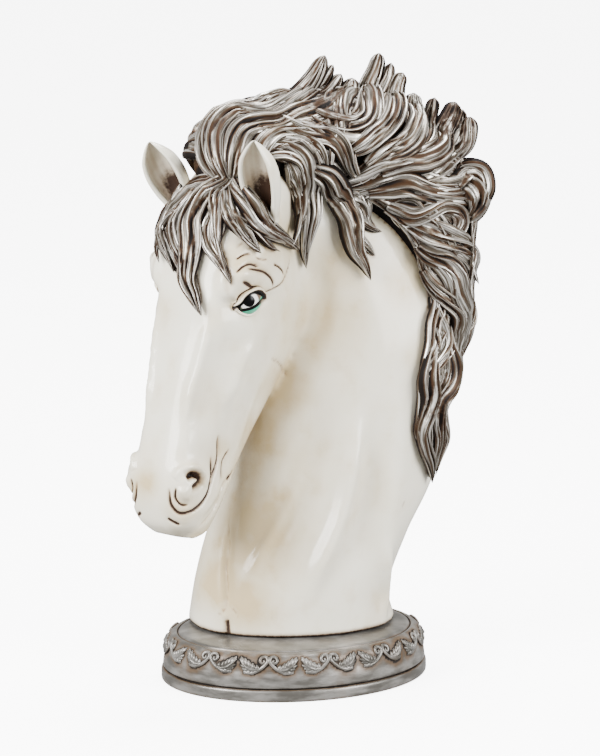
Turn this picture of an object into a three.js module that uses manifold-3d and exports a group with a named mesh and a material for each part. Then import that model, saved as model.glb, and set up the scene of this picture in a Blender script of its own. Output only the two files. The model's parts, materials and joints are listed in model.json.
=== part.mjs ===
// Horse head sculpture: a hollow cast resin bust of a horse with a flowing mane, fixed on an oval
// plinth with a scrollwork frieze. Millimetres, +Z up. The origin is the centre of the plinth's
// underside. The plinth's long axis lies along X, the neck leaves it towards -X, and the head
// turns to its left, towards -Y.

import * as THREE from "three";
import { mergeVertices } from "three/addons/utils/BufferGeometryUtils.js";
import Module from "manifold-3d";

const wasm = await Module();
wasm.setup();

// Driving dimensions
const PLINTH_LENGTH = 150;
const PLINTH_WIDTH = 120;
const SLAB_HEIGHT = 6;
const BAND_HEIGHT = 14;
const SHOULDER_HEIGHT = 7;
const BAND_INSET = 2.4;
const SHOULDER_INSET = 6.5;
const GROOVE_DEPTH = 1.1;
const GROOVE_WIDTH = 1;
const EDGE_ROUND = 1;
const SHORTEST_EDGE = 0.06;
const FRIEZE_PAIRS = 12;
const FRIEZE_RELIEF = 1.3;
const FRIEZE_HEIGHT = 7.6;
const BUST_GAP = 0.3;
const BUST_HEIGHT = 323;
const HEAD_LENGTH = 0.62 * BUST_HEIGHT;
const HEAD_TURN = THREE.MathUtils.degToRad(31);
const FACE_SLOPE = THREE.MathUtils.degToRad(16.3);

// Values that follow from them
const PLINTH_HEIGHT = SLAB_HEIGHT + BAND_HEIGHT + SHOULDER_HEIGHT;
const FOOT_LEVEL = PLINTH_HEIGHT + BUST_GAP;
const BUST_SCALE = BUST_HEIGHT / 323; // the bust's tables read in millimetres at a height of 323
const HEAD_SCALE = HEAD_LENGTH / 200; // the head's table reads in millimetres at a length of 200

// A point of the bust, given in table millimetres above the plinth's top
const bust = (x, y, z) => new THREE.Vector3(x, y, z).multiplyScalar(BUST_SCALE).add(
  new THREE.Vector3(0, 0, FOOT_LEVEL),
);

// The head's own frame: "along" runs down the face from the poll, "left" is the horse's left,
// and "out" is square to the face, towards its front
const POLL = bust(-44, -7, 262);
const facing = new THREE.Vector3(-Math.cos(HEAD_TURN), -Math.sin(HEAD_TURN), 0);
const left = new THREE.Vector3(Math.sin(HEAD_TURN), -Math.cos(HEAD_TURN), 0);
const up = new THREE.Vector3(0, 0, 1);
const along = facing.clone().multiplyScalar(Math.sin(FACE_SLOPE)).addScaledVector(up, -Math.cos(FACE_SLOPE));
const out = facing.clone().multiplyScalar(Math.cos(FACE_SLOPE)).addScaledVector(up, Math.sin(FACE_SLOPE));
const headPoint = (a, l, o) =>
  POLL.clone()
    .addScaledVector(along, a * HEAD_SCALE)
    .addScaledVector(left, l * HEAD_SCALE)
    .addScaledVector(out, o * HEAD_SCALE);

// Rows are read at any place by a smooth curve through them, column by column
function rowAt(rows, place) {
  let i = 1;
  while (i < rows.length - 1 && rows[i][0] < place) i++;
  const [p0, p1, p2, p3] = [i - 2, i - 1, i, i + 1].map(
    (k) => rows[Math.min(Math.max(k, 0), rows.length - 1)],
  );
  const span = p2[0] - p1[0];
  const t = THREE.MathUtils.clamp((place - p1[0]) / span, 0, 1);
  return p1.map((value, column) => {
    const slopeIn = p2[0] === p0[0] ? 0 : (p2[column] - p0[column]) / (p2[0] - p0[0]);
    const slopeOut = p3[0] === p1[0] ? 0 : (p3[column] - p1[column]) / (p3[0] - p1[0]);
    const h = t * t * (3 - 2 * t);
    const bendIn = t * (1 - t) * (1 - t) * span * slopeIn;
    const bendOut = t * t * (1 - t) * span * slopeOut;
    return value * (1 - h) + p2[column] * h + bendIn - bendOut;
  });
}

// A closed body from rings of points: walls between neighbouring rings and a fan on each end
function loft(rings) {
  const n = rings[0].length;
  const position = rings.flat().flatMap((p) => [p.x, p.y, p.z]);
  const index = [];
  for (let r = 0; r < rings.length - 1; r++) {
    for (let i = 0; i < n; i++) {
      const a = r * n + i;
      const b = r * n + ((i + 1) % n);
      index.push(a, b, b + n, a, b + n, a + n);
    }
  }
  for (const [ring, flip] of [[rings[0], true], [rings.at(-1), false]]) {
    const start = flip ? 0 : (rings.length - 1) * n;
    const middle = ring.reduce((sum, p) => sum.add(p), new THREE.Vector3()).divideScalar(n);
    const centre = position.length / 3;
    position.push(middle.x, middle.y, middle.z);
    for (let i = 0; i < n; i++) {
      const a = start + i;
      const b = start + ((i + 1) % n);
      if (flip) index.push(centre, b, a);
      else index.push(centre, a, b);
    }
  }
  const geometry = new THREE.BufferGeometry();
  geometry.setAttribute("position", new THREE.Float32BufferAttribute(position, 3));
  geometry.setIndex(index);
  return geometry;
}

function solid(geometry) {
  const bare = geometry.clone();
  bare.deleteAttribute("normal");
  bare.deleteAttribute("uv");
  const merged = mergeVertices(bare, 1e-4);
  const body = new wasm.Manifold(
    new wasm.Mesh({
      numProp: 3,
      vertProperties: new Float32Array(merged.attributes.position.array),
      triVerts: new Uint32Array(merged.index.array),
    }),
  );
  if (body.volume() > 0) return body;
  const flipped = merged.index.array.slice();
  for (let i = 0; i < flipped.length; i += 3) {
    [flipped[i], flipped[i + 1]] = [flipped[i + 1], flipped[i]];
  }
  return new wasm.Manifold(
    new wasm.Mesh({
      numProp: 3,
      vertProperties: new Float32Array(merged.attributes.position.array),
      triVerts: new Uint32Array(flipped),
    }),
  );
}

const join = (bodies) => bodies.reduce((sum, body) => sum.add(body));

// The body with its small inner hollows filled, where locks close over one another
const filled = (body) => body.decompose().reduce((most, part) => (part.volume() > most.volume() ? part : most));

// The surface with the slivers that cuts leave merged away: the ends of each edge shorter than
// SHORTEST_EDGE become one point. An edge is merged only where its ends share no neighbours but
// the two across it, so the surface stays closed
function withoutSlivers(body) {
  const mesh = body.getMesh();
  const points = [];
  for (let i = 0; i < mesh.vertProperties.length; i += mesh.numProp) {
    points.push(new THREE.Vector3().fromArray(mesh.vertProperties, i));
  }
  const triangles = [];
  for (let i = 0; i < mesh.triVerts.length; i += 3) {
    triangles.push([mesh.triVerts[i], mesh.triVerts[i + 1], mesh.triVerts[i + 2]]);
  }
  const around = points.map(() => new Set());
  triangles.forEach((corners, number) => corners.forEach((v) => around[v].add(number)));
  const neighbours = (v) => {
    const found = new Set([...around[v]].flatMap((number) => triangles[number]));
    found.delete(v);
    return found;
  };
  const merge = (kept, lost) => {
    for (const number of around[lost]) {
      const corners = triangles[number];
      if (corners.includes(kept)) {
        corners.forEach((v) => around[v].delete(number));
        triangles[number] = null;
      } else {
        corners[corners.indexOf(lost)] = kept;
        around[kept].add(number);
      }
    }
    around[lost].clear();
  };
  for (let pass = 0; pass < 3; pass++) {
    points.forEach((point, v) => {
      for (const w of neighbours(v)) {
        if (point.distanceTo(points[w]) > SHORTEST_EDGE) continue;
        const others = neighbours(w);
        const shared = [...neighbours(v)].filter((u) => others.has(u));
        if (shared.length === 2) merge(v, w);
      }
    });
  }
  const geometry = new THREE.BufferGeometry();
  const position = points.flatMap((p) => [p.x, p.y, p.z]);
  geometry.setAttribute("position", new THREE.Float32BufferAttribute(position, 3));
  geometry.setIndex(triangles.filter(Boolean).flat());
  return geometry;
}

// An ellipsoid with its three half-sizes along the head's own axes
function headEllipsoid(a, l, o, halfAlong, halfLeft, halfOut, detail = 10) {
  const ball = new THREE.SphereGeometry(1, detail, Math.round(detail * 0.7));
  const frame = new THREE.Matrix4().makeBasis(
    along.clone().multiplyScalar(halfAlong * HEAD_SCALE),
    left.clone().multiplyScalar(halfLeft * HEAD_SCALE),
    out.clone().multiplyScalar(halfOut * HEAD_SCALE),
  );
  frame.setPosition(headPoint(a, l, o));
  return solid(ball.applyMatrix4(frame));
}

// Head: for each place along the face, how far the face stands out and the jaw lies back, then
// the half widths at the nose bridge's edge, the eye's level, the cheek and the jaw's edge
const HEAD_ROWS = [
  [-8, -12, -38, 8, 14, 14, 8],
  [-2, 0, -50, 14, 23, 23, 14],
  [10, 7, -57, 19, 28, 26, 17],
  [30, 12, -62, 22, 32, 28, 18],
  [50, 14.5, -73, 24, 33, 30, 18],
  [66, 15, -78, 23, 33, 30, 17],
  [86, 14, -76, 20.5, 29.5, 29, 17],
  [104, 13.6, -68, 18, 26, 26, 16],
  [121, 13.7, -61, 16.5, 23, 22, 14.5],
  [140, 13.5, -53, 15.5, 20.5, 19, 13],
  [155, 13.5, -47, 15, 19.5, 18.5, 12.5],
  [170, 13, -42, 16, 21.5, 19.5, 12.5],
  [182, 10.5, -37.5, 16, 21.5, 19, 12],
  [192, 5, -33, 14, 19.5, 17, 11],
  [200, -4, -26, 8, 13, 11, 7],
];
const SECTION_LEVELS = [0.05, 0.3, 0.6, 0.92]; // the widths' levels, as shares from face to jaw
const HEAD_STEPS = 18;
const HEAD_SIDES = 20;

function headRing(place) {
  const [, face, jaw, ...widths] = rowAt(HEAD_ROWS, place);
  const leftSide = widths.map((w, i) => [w, face + (jaw - face) * SECTION_LEVELS[i]]);
  const rightSide = leftSide.map(([w, o]) => [-w, o]).reverse();
  const outline = [[0, face], ...leftSide, [0, jaw], ...rightSide];
  const curve = new THREE.CatmullRomCurve3(
    outline.map(([l, o]) => new THREE.Vector3(l, o, 0)), true, "centripetal",
  );
  const ring = [];
  for (let i = 0; i < HEAD_SIDES; i++) {
    const p = curve.getPoint(i / HEAD_SIDES);
    ring.push(headPoint(place, p.x, p.y));
  }
  return ring;
}

function headBody() {
  const first = HEAD_ROWS[0][0];
  const last = HEAD_ROWS.at(-1)[0];
  const rings = [];
  for (let i = 0; i <= HEAD_STEPS; i++) rings.push(headRing(first + ((last - first) * i) / HEAD_STEPS));
  return solid(loft(rings));
}

// Neck: each section runs from a throat point to a crest point and swells to the left and right.
// The first row is the foot, which takes its size from the plinth's top; the others are the bust's.
// Columns: throat x, y, z; crest x, y, z; left half width; right half width
const NECK_ROWS = [
  [0, -0.347, 0.233, 0, 0.4, 0.033, 0, 0.37, 0.24],
  [1, -49, 25, 24, 57, 6, 20, 44, 29],
  [2, -44, 21, 48, 68, 7, 49, 40, 30],
  [3, -36, 18, 73, 84, 8, 81, 37, 31],
  [4, -29, 16, 98, 91, 9, 123, 35, 32],
  [5, -22, 15, 121, 95, 11, 163, 34, 32],
  [6, -16, 14, 141, 84, 15, 201, 32, 32],
  [7, -12, 13, 159, 64, 19, 233, 30, 30],
  [8, -10, 12, 175, 38, 21, 255, 28, 28],
  [9, -16, 8, 190, 4, 15, 266, 26, 26],
  [10, -30, 1, 205, -28, 2, 263, 22, 22],
];
const NECK_STEPS = 14;
const NECK_SIDES = 20;
const NECK_FULLNESS = 0.82; // below 1 the section is fuller than an ellipse

// A section from one point to another that swells to the left and right of the line between them
function slice(from, to, turn, leftHalf, rightHalf, fullness, sides) {
  const middle = from.clone().lerp(to, 0.5);
  const half = to.clone().sub(middle);
  const side = new THREE.Vector3(Math.sin(turn), -Math.cos(turn), 0);
  const ring = [];
  for (let i = 0; i < sides; i++) {
    const angle = (i / sides) * 2 * Math.PI;
    const back = -Math.cos(angle);
    const across = Math.sign(Math.sin(angle)) * Math.abs(Math.sin(angle)) ** fullness;
    const width = (across > 0 ? leftHalf : rightHalf) * BUST_SCALE;
    ring.push(middle.clone().addScaledVector(half, back).addScaledVector(side, across * width));
  }
  return ring;
}

function neckRow(place) {
  const foot = NECK_ROWS[0];
  const footRow = [
    0, foot[1] * PLINTH_LENGTH, foot[2] * PLINTH_WIDTH, 0, foot[4] * PLINTH_LENGTH,
    foot[5] * PLINTH_WIDTH, 0, foot[7] * PLINTH_WIDTH, foot[8] * PLINTH_WIDTH,
  ].map((value, i) => (i === 0 ? value : value / BUST_SCALE));
  return rowAt([footRow, ...NECK_ROWS.slice(1)], place);
}

function neckRing(place) {
  const [, tx, ty, tz, cx, cy, cz, leftHalf, rightHalf] = neckRow(place);
  const throat = bust(tx, ty, tz);
  const crest = bust(cx, cy, cz);
  const turn = Math.atan2(crest.y - throat.y, crest.x - throat.x);
  return slice(throat, crest, turn, leftHalf, rightHalf, NECK_FULLNESS, NECK_SIDES);
}

function neckBody() {
  const rings = [];
  for (let i = 0; i <= NECK_STEPS; i++) rings.push(neckRing((10 * i) / NECK_STEPS));
  return solid(loft(rings));
}

// Plinth: stacked ovals from the underside up, each a height and an inset from the outer edge
function ovalRing(height, inset, sides) {
  const ring = [];
  for (let i = 0; i < sides; i++) {
    const angle = (i / sides) * 2 * Math.PI;
    ring.push(
      new THREE.Vector3(
        (PLINTH_LENGTH / 2 - inset) * Math.cos(angle),
        (PLINTH_WIDTH / 2 - inset) * Math.sin(angle),
        height,
      ),
    );
  }
  return ring;
}

const PLINTH_SIDES = 36;
const SHOULDER_STEPS = 2;

function plinthBody() {
  const bandTop = SLAB_HEIGHT + BAND_HEIGHT;
  const profile = [
    [0, EDGE_ROUND],
    [EDGE_ROUND, 0],
    [SLAB_HEIGHT - EDGE_ROUND, 0],
    [SLAB_HEIGHT, BAND_INSET / 2 + GROOVE_DEPTH],
    [SLAB_HEIGHT + GROOVE_WIDTH, BAND_INSET / 2],
    [bandTop - EDGE_ROUND, BAND_INSET],
    [bandTop, BAND_INSET + GROOVE_DEPTH],
  ];
  for (let i = 0; i <= SHOULDER_STEPS; i++) {
    const angle = (i / SHOULDER_STEPS) * (Math.PI / 2);
    profile.push([
      bandTop + GROOVE_WIDTH + (SHOULDER_HEIGHT - GROOVE_WIDTH) * Math.sin(angle),
      BAND_INSET + (SHOULDER_INSET - BAND_INSET) * (1 - Math.cos(angle)),
    ]);
  }
  const stand = solid(loft(profile.map(([z, inset]) => ovalRing(z, inset, PLINTH_SIDES))));
  return join([stand, ...friezeBodies()]);
}

// Ears: a leaf-shaped shell, hollow in front. Rows: share of the height, half width, shell's wall
const EAR_ROWS = [
  [-0.12, 7.5, 3.2],
  [0.08, 9, 3],
  [0.25, 10.8, 2.8],
  [0.5, 11.8, 2.5],
  [0.72, 10.2, 2.2],
  [0.89, 6, 1.8],
  [1, 1.3, 0.7],
];
const EAR_BASES = { left: [17, 29, -6], right: [21, 29, -6] };
const EAR_TIPS = { left: [-23, 36.5, 24], right: [-9, 37, 21] };
// How far each ear's hollow turns from the front, towards the horse's left
const EAR_OPENINGS = { left: THREE.MathUtils.degToRad(-18), right: THREE.MathUtils.degToRad(10) };
const EAR_WRAP = THREE.MathUtils.degToRad(118); // how far round the shell reaches, each way
const EAR_ARC_STEPS = 5;

function earBody(side) {
  const name = side > 0 ? "left" : "right";
  const [base, tip] = [EAR_BASES[name], EAR_TIPS[name]].map(([a, l, o]) => headPoint(a, side * l, o));
  const axis = tip.clone().sub(base).normalize();
  const open = facing.clone().multiplyScalar(Math.cos(EAR_OPENINGS[name]));
  open.addScaledVector(left, Math.sin(EAR_OPENINGS[name]));
  open.addScaledVector(axis, -open.dot(axis)).normalize();
  const across = new THREE.Vector3().crossVectors(axis, open);
  const rings = EAR_ROWS.map(([share, halfWidth, wall]) => {
    const centre = base.clone().lerp(tip, share);
    const arc = (radius, angle) =>
      centre
        .clone()
        .addScaledVector(open, -radius * Math.cos(angle) * 0.8 * HEAD_SCALE)
        .addScaledVector(across, radius * Math.sin(angle) * HEAD_SCALE);
    const ring = [];
    for (let i = 0; i <= EAR_ARC_STEPS; i++) {
      ring.push(arc(halfWidth, EAR_WRAP * ((2 * i) / EAR_ARC_STEPS - 1)));
    }
    for (let i = EAR_ARC_STEPS; i >= 0; i--) {
      ring.push(arc(Math.max(halfWidth - wall, halfWidth * 0.4), EAR_WRAP * ((2 * i) / EAR_ARC_STEPS - 1)));
    }
    return ring;
  });
  return solid(loft(rings));
}

// A tapering strand swept along a smooth curve through its guide points. Its section lies flat
// across "outward"; "shape" gives the section's corners as shares of the width and the thickness
function sweep(guides, outwards, width, thickness, shape, steps, taper) {
  const curve = new THREE.CatmullRomCurve3(guides, false, "centripetal");
  const rings = [];
  for (let i = 0; i <= steps; i++) {
    const t = i / steps;
    const centre = curve.getPoint(t);
    const tangent = curve.getTangent(t);
    const place = t * (outwards.length - 1);
    const k = Math.min(Math.floor(place), outwards.length - 2);
    const outward = outwards[k].clone().lerp(outwards[k + 1], place - k);
    outward.addScaledVector(tangent, -outward.dot(tangent)).normalize();
    const across = new THREE.Vector3().crossVectors(tangent, outward);
    const size = taper(t);
    rings.push(
      shape.map(([x, y]) =>
        centre
          .clone()
          .addScaledVector(across, x * width * 0.5 * size)
          .addScaledVector(outward, y * thickness * size),
      ),
    );
  }
  return solid(loft(rings));
}

// Mane: a core along the crest, from the nape's foot to the forehead, that the locks lie on.
// Columns: inner x, y, z; outer x, y, z; half width; the turn of its middle plane, in degrees
const MANE_ROWS = [
  [0, 77, 8, 86, 85, 8, 80, 4, -3],
  [1, 80, 9, 116, 89, 9, 112, 9, -3],
  [2, 80, 10, 145, 99, 10, 146, 14, -2],
  [3, 77, 12, 170, 107, 11, 179, 20, -1],
  [4, 66, 14, 195, 107, 13, 213, 25, 2],
  [5, 48, 17, 215, 98, 18, 253, 28, 6],
  [6, 26, 18, 228, 71, 22, 283, 29, 12],
  [7, 6, 15, 238, 30, 21, 291, 28, 19],
  [8, -14, 8, 242, -11, 13, 290, 25, 26],
  [9, -30, 1, 243, -41, 2, 285, 22, 31],
  [10, -40, -4, 246, -55, -8, 275, 16, 31],
  [11, -46, -8, 248, -60, -13, 262, 8, 31],
];
const MANE_STEPS = 12;
const MANE_SIDES = 12;
const MANE_FULLNESS = 0.85;

function maneCore() {
  const rings = [];
  for (let i = 0; i <= MANE_STEPS; i++) {
    rings.push(maneRing(((MANE_ROWS.length - 1) * i) / MANE_STEPS));
  }
  return solid(loft(rings));
}

// The locks are drawn in the plane of the sculpture's best side, seen from a little above: a point
// is given by how far it lies to the right of the plinth's middle and above its underside, in that
// plane, and is laid on the surface of the bust behind it
const SIDE_TURN = THREE.MathUtils.degToRad(-20);
const SIDE_TILT = THREE.MathUtils.degToRad(14.2);
const sideRight = new THREE.Vector3(Math.cos(SIDE_TURN), Math.sin(SIDE_TURN), 0);
const sideAway = new THREE.Vector3(
  -Math.sin(SIDE_TURN) * Math.cos(SIDE_TILT),
  Math.cos(SIDE_TURN) * Math.cos(SIDE_TILT),
  -Math.sin(SIDE_TILT),
);
const sideUp = new THREE.Vector3().crossVectors(sideRight, sideAway);

// Lays a drawn path on a body: each point moves along the line of sight to the first surface, and
// a point beside the body keeps the depth of the one before it
function lay(path, triangles, lift) {
  const sight = sideAway;
  const points = [];
  const outwards = [];
  let depth = 0;
  for (const [x, y] of path) {
    const origin = sideRight.clone().multiplyScalar(x * BUST_SCALE);
    origin.addScaledVector(sideUp, y * BUST_SCALE);
    const ray = new THREE.Ray(origin.clone().addScaledVector(sight, -2 * BUST_HEIGHT), sight);
    let nearest = null;
    const hit = new THREE.Vector3();
    for (const [a, b, c] of triangles) {
      if (!ray.intersectTriangle(a, b, c, true, hit)) continue;
      const distance = hit.distanceTo(ray.origin);
      if (nearest && distance >= nearest.distance) continue;
      const normal = b.clone().sub(a).cross(c.clone().sub(a)).normalize();
      nearest = { distance, normal, point: hit.clone() };
    }
    if (nearest) {
      depth = nearest.point.clone().sub(origin).dot(sight);
      points.push(nearest.point.addScaledVector(nearest.normal, lift));
      outwards.push(nearest.normal);
    } else {
      points.push(origin.addScaledVector(sight, depth));
      outwards.push(sight.clone().negate());
    }
  }
  return { points, outwards };
}

function trianglesOf(body) {
  const mesh = body.getMesh();
  const corner = (k) => new THREE.Vector3().fromArray(mesh.vertProperties, mesh.triVerts[k] * mesh.numProp);
  const triangles = [];
  for (let i = 0; i < mesh.triVerts.length; i += 3) {
    triangles.push([corner(i), corner(i + 1), corner(i + 2)]);
  }
  return triangles;
}

// Locks of the forelock, the crown, the crest, the neck's side and the mane's back. Each has its
// width and the points that it is drawn through
const LOCKS = [
  [14, [-46, 270], [-60, 262], [-71, 247], [-71, 233], [-63, 220]],
  [12, [-42, 269], [-57, 254], [-62, 236], [-52, 212]],
  [15, [-36, 273], [-46, 259], [-55, 240], [-55, 220], [-49, 197]],
  [13, [-34, 268], [-33, 254], [-27, 240], [-19, 231]],
  [14, [-30, 268], [-23, 250], [-11, 242], [0, 233]],
  [12, [-36, 269], [-41, 252], [-40, 234]],
  [16, [-39, 270], [-50, 281], [-51, 294], [-42, 305], [-28, 311], [-8, 315], [6, 322], [17, 341]],
  [16, [-36, 271], [-42, 284], [-40, 296], [-28, 304], [-8, 308], [14, 316], [26, 330]],
  [15, [-34, 273], [-32, 287], [-25, 297], [-9, 303], [11, 305], [28, 316]],
  [15, [-25, 272], [-19, 288], [-3, 296], [15, 299], [32, 309]],
  [16, [4, 307], [26, 298], [39, 305], [43, 320], [47, 342]],
  [15, [30, 288], [47, 298], [54, 314], [60, 331]],
  [13, [14, 288], [23, 302], [29, 318]],
  [16, [38, 280], [57, 289], [65, 304], [66, 320]],
  [16, [46, 277], [70, 284], [83, 300], [89, 315]],
  [15, [54, 271], [79, 279], [93, 293], [97, 307]],
  [15, [62, 266], [86, 271], [99, 279], [106, 273], [103, 260], [101, 252]],
  [17, [26, 270], [56, 281], [74, 287], [89, 280], [97, 262]],
  [17, [40, 266], [66, 269], [86, 262], [96, 248], [99, 231]],
  [14, [50, 259], [67, 255], [81, 256], [89, 248], [77, 235]],
  [17, [62, 250], [82, 241], [94, 226], [99, 206]],
  [17, [69, 238], [86, 221], [92, 202], [90, 180]],
  [14, [73, 225], [87, 202], [86, 180], [81, 152]],
  [13, [76, 208], [80, 186], [74, 166], [76, 141]],
  [14, [84, 192], [86, 170], [81, 146], [78, 124]],
  [13, [75, 182], [71, 158], [71, 134], [74, 112]],
  [14, [95, 212], [95, 194], [89, 174], [84, 154]],
  [15, [-15, 289], [-3, 288], [8, 277], [9, 261], [5, 245], [6, 224]],
  [12, [-5, 281], [2, 270], [2, 256], [-1, 243]],
  [17, [8, 278], [22, 271], [26, 255], [28, 240], [37, 227], [41, 217]],
  [13, [22, 274], [32, 260], [36, 250], [47, 243]],
  [15, [-10, 304], [5, 294], [15, 283], [18, 268]],
  [15, [-3, 299], [14, 293], [28, 283], [38, 270]],
];
const LOCK_STEPS_PER_POINT = 1.1;
const LOCK_THICKNESS = 0.45; // share of the width
const LOCK_SECTION = [[-1, -0.5], [-0.5, 0.6], [0.5, 0.6], [1, -0.5]];

// Locks of the far side and of the top, laid over the mane's core by a loop: each starts on the
// crest and runs down the core, towards the nape's foot, to its tip
const FAR_LOCKS = 9;
const FAR_LOCK_WIDTH = 19;
const FAR_LOCK_SLIP = 1.1; // how many rows of the mane a far lock slips back on its way down
const FAR_LOCK_DROPS = [134, 118]; // degrees round the core that the locks run down, by turns
const TOP_LOCKS = 5;
const TOP_LOCK_SLIP = 2;
const TOP_LOCK_SWAYS = [-10, 16]; // degrees to one side of the crest, by turns
const MANE_LAST_ROW = MANE_ROWS.length - 1;
const FAR_LOCK_SPAN = [MANE_LAST_ROW - 1.2, 1]; // mane rows where the first and the last far lock start
const TOP_LOCK_SPAN = [MANE_LAST_ROW - 0.8, 2.2];
const LOCK_LIFT = 0.14; // share of a lock's width that its path is raised off the core
const lockTaper = (t) => 0.62 + 0.38 * Math.sin(Math.PI * Math.min(t * 1.5, 1)) - 0.5 * t ** 3;

function maneRing(place) {
  const [, ix, iy, iz, ox, oy, oz, half, degrees] = rowAt(MANE_ROWS, place);
  const turn = THREE.MathUtils.degToRad(degrees);
  return slice(bust(ix, iy, iz), bust(ox, oy, oz), turn, half, half, MANE_FULLNESS, MANE_SIDES);
}

// A point of the mane's core and its outward direction. "turn" goes round the section, in degrees:
// 0 at its top, 90 on the far side and -90 on the near side
function onMane(place, turn, lift) {
  const [, ix, iy, iz, ox, oy, oz, half, degrees] = rowAt(MANE_ROWS, place);
  const bearing = THREE.MathUtils.degToRad(degrees);
  const inner = bust(ix, iy, iz);
  const outer = bust(ox, oy, oz);
  const middle = inner.clone().lerp(outer, 0.5);
  const reach = outer.clone().sub(middle);
  const side = new THREE.Vector3(-Math.sin(bearing), Math.cos(bearing), 0);
  const angle = THREE.MathUtils.degToRad(turn);
  const outward = reach.clone().multiplyScalar(Math.cos(angle));
  const sideways = Math.sign(Math.sin(angle)) * Math.abs(Math.sin(angle)) ** MANE_FULLNESS;
  outward.addScaledVector(side, sideways * half * BUST_SCALE);
  const point = middle.add(outward);
  outward.normalize();
  return { point: point.addScaledVector(outward, lift), outward };
}

function loopedLock(start, slip, turns, width, steps) {
  const laid = turns.map((turn, i) => {
    const place = Math.max(start - (slip * i) / (turns.length - 1), 0);
    return onMane(place, turn, 0.1 * width);
  });
  const points = laid.map(({ point }) => point);
  const outwards = laid.map(({ outward }) => outward);
  return sweep(points, outwards, width, width * LOCK_THICKNESS, LOCK_SECTION, steps, lockTaper);
}

function lockBodies(core) {
  const triangles = trianglesOf(core);
  const bodies = LOCKS.map(([width, ...path]) => {
    const size = width * BUST_SCALE;
    const steps = Math.round(path.length * LOCK_STEPS_PER_POINT);
    const { points, outwards } = lay(path, triangles, LOCK_LIFT * size);
    return sweep(points, outwards, size, size * LOCK_THICKNESS, LOCK_SECTION, steps, lockTaper);
  });
  const farWidth = FAR_LOCK_WIDTH * BUST_SCALE;
  const spread = ([first, last], i, count) => first + ((last - first) * i) / (count - 1);
  for (let i = 0; i < FAR_LOCKS; i++) {
    const drop = FAR_LOCK_DROPS[i % 2];
    const turns = [8, drop / 3, (drop * 2) / 3, drop];
    bodies.push(loopedLock(spread(FAR_LOCK_SPAN, i, FAR_LOCKS), FAR_LOCK_SLIP, turns, farWidth, 4));
  }
  for (let i = 0; i < TOP_LOCKS; i++) {
    const sway = TOP_LOCK_SWAYS[i % 2];
    const turns = [sway, sway + 12, sway - 4, sway + 8];
    bodies.push(loopedLock(spread(TOP_LOCK_SPAN, i, TOP_LOCKS), TOP_LOCK_SLIP, turns, farWidth, 4));
  }
  return bodies;
}

// Face: the round of the eye's socket, the eyeball, the nostril's rim and hole, and the mouth's line
const EYE = [65, 25, -7];
const EYE_RADIUS = 9.5;
const SOCKET = [57, 22, 1];
const SOCKET_HALVES = [17, 12.5, 13];
const CHEEK = [62, 17, -52];
const CHEEK_HALVES = [29, 13, 23];
const NOSTRIL_RIM = [171, 15.5, 5];
const NOSTRIL_RIM_HALVES = [12, 8, 8.5];
const NOSTRIL_HOLE = [172, 22.5, 8];
const NOSTRIL_HOLE_HALVES = [5, 4.5, 2.6];
const MOUTH_PATH = [[160, 19.5, -34], [172, 19, -32], [184, 17.5, -28], [193, 14, -22], [199, 8, -15]];
const MOUTH_WIDTH = 2.2;

function faceParts(side) {
  const oval = ([a, l, o], halves, detail) => headEllipsoid(a, side * l, o, ...halves, detail);
  return {
    added: [
      oval(SOCKET, SOCKET_HALVES),
      oval(EYE, [EYE_RADIUS, EYE_RADIUS, EYE_RADIUS]),
      oval(NOSTRIL_RIM, NOSTRIL_RIM_HALVES),
      oval(CHEEK, CHEEK_HALVES, 14),
    ],
    cut: [oval(NOSTRIL_HOLE, NOSTRIL_HOLE_HALVES)],
  };
}

function mouthCut(side) {
  const points = MOUTH_PATH.map(([a, l, o]) => headPoint(a, side * l, o));
  const outwards = points.map(() => left.clone().multiplyScalar(side));
  const square = [[-1, -1], [1, -1], [1, 1], [-1, 1]];
  return sweep(points, outwards, MOUTH_WIDTH, 3 * MOUTH_WIDTH, square, 8, () => 1);
}

function bustBody() {
  const skull = join([neckBody(), headBody()]);
  const core = skull.add(maneCore());
  const faces = [1, -1].map(faceParts);
  const added = faces.flatMap((face) => face.added);
  const ears = [1, -1].map(earBody);
  const cut = join([...faces.flatMap((face) => face.cut), mouthCut(1), mouthCut(-1)]);
  return filled(join([core, ...added]).subtract(cut).add(join([...ears, ...lockBodies(core)])));
}

// Frieze: each pair of scrolls meets leaf tip to leaf tip. A scroll is drawn from the pair's
// middle outwards, as shares of half the pair's width and of the frieze's height
const SCROLL = [[0.04, -0.05], [0.24, -0.4], [0.5, -0.25], [0.72, 0.32], [0.95, 0.2], [0.84, -0.3]];
const LEAF = [[0.08, 0.15], [0.28, 0.42], [0.5, 0.1]];
const SCROLL_WIDTH = 2.4;
const scrollSection = [[-1, -0.9], [0, 1], [1, -0.9]];

function friezeBodies() {
  const halfLength = PLINTH_LENGTH / 2 - BAND_INSET * 0.75;
  const halfWidth = PLINTH_WIDTH / 2 - BAND_INSET * 0.75;
  const middle = SLAB_HEIGHT + BAND_HEIGHT / 2;
  const oval = new THREE.EllipseCurve(0, 0, halfLength, halfWidth);
  const pairShare = 1 / FRIEZE_PAIRS;
  const bodies = [];
  for (let pair = 0; pair < FRIEZE_PAIRS; pair++) {
    for (const mirror of [-1, 1]) {
      for (const [path, steps] of [[SCROLL, 4], [LEAF, 1]]) {
        const points = [];
        const outwards = [];
        for (const [x, y] of path) {
          const share = (pair + 0.5 + mirror * 0.5 * x) * pairShare;
          const p = oval.getPointAt(((share % 1) + 1) % 1);
          const outward = new THREE.Vector3(p.x / halfLength ** 2, p.y / halfWidth ** 2, 0).normalize();
          points.push(new THREE.Vector3(p.x, p.y, middle + y * FRIEZE_HEIGHT));
          outwards.push(outward);
        }
        bodies.push(sweep(points, outwards, SCROLL_WIDTH, FRIEZE_RELIEF, scrollSection, steps, friezeTaper));
      }
    }
  }
  return bodies;
}

const friezeTaper = (t) => 1 - 0.45 * t;

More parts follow.
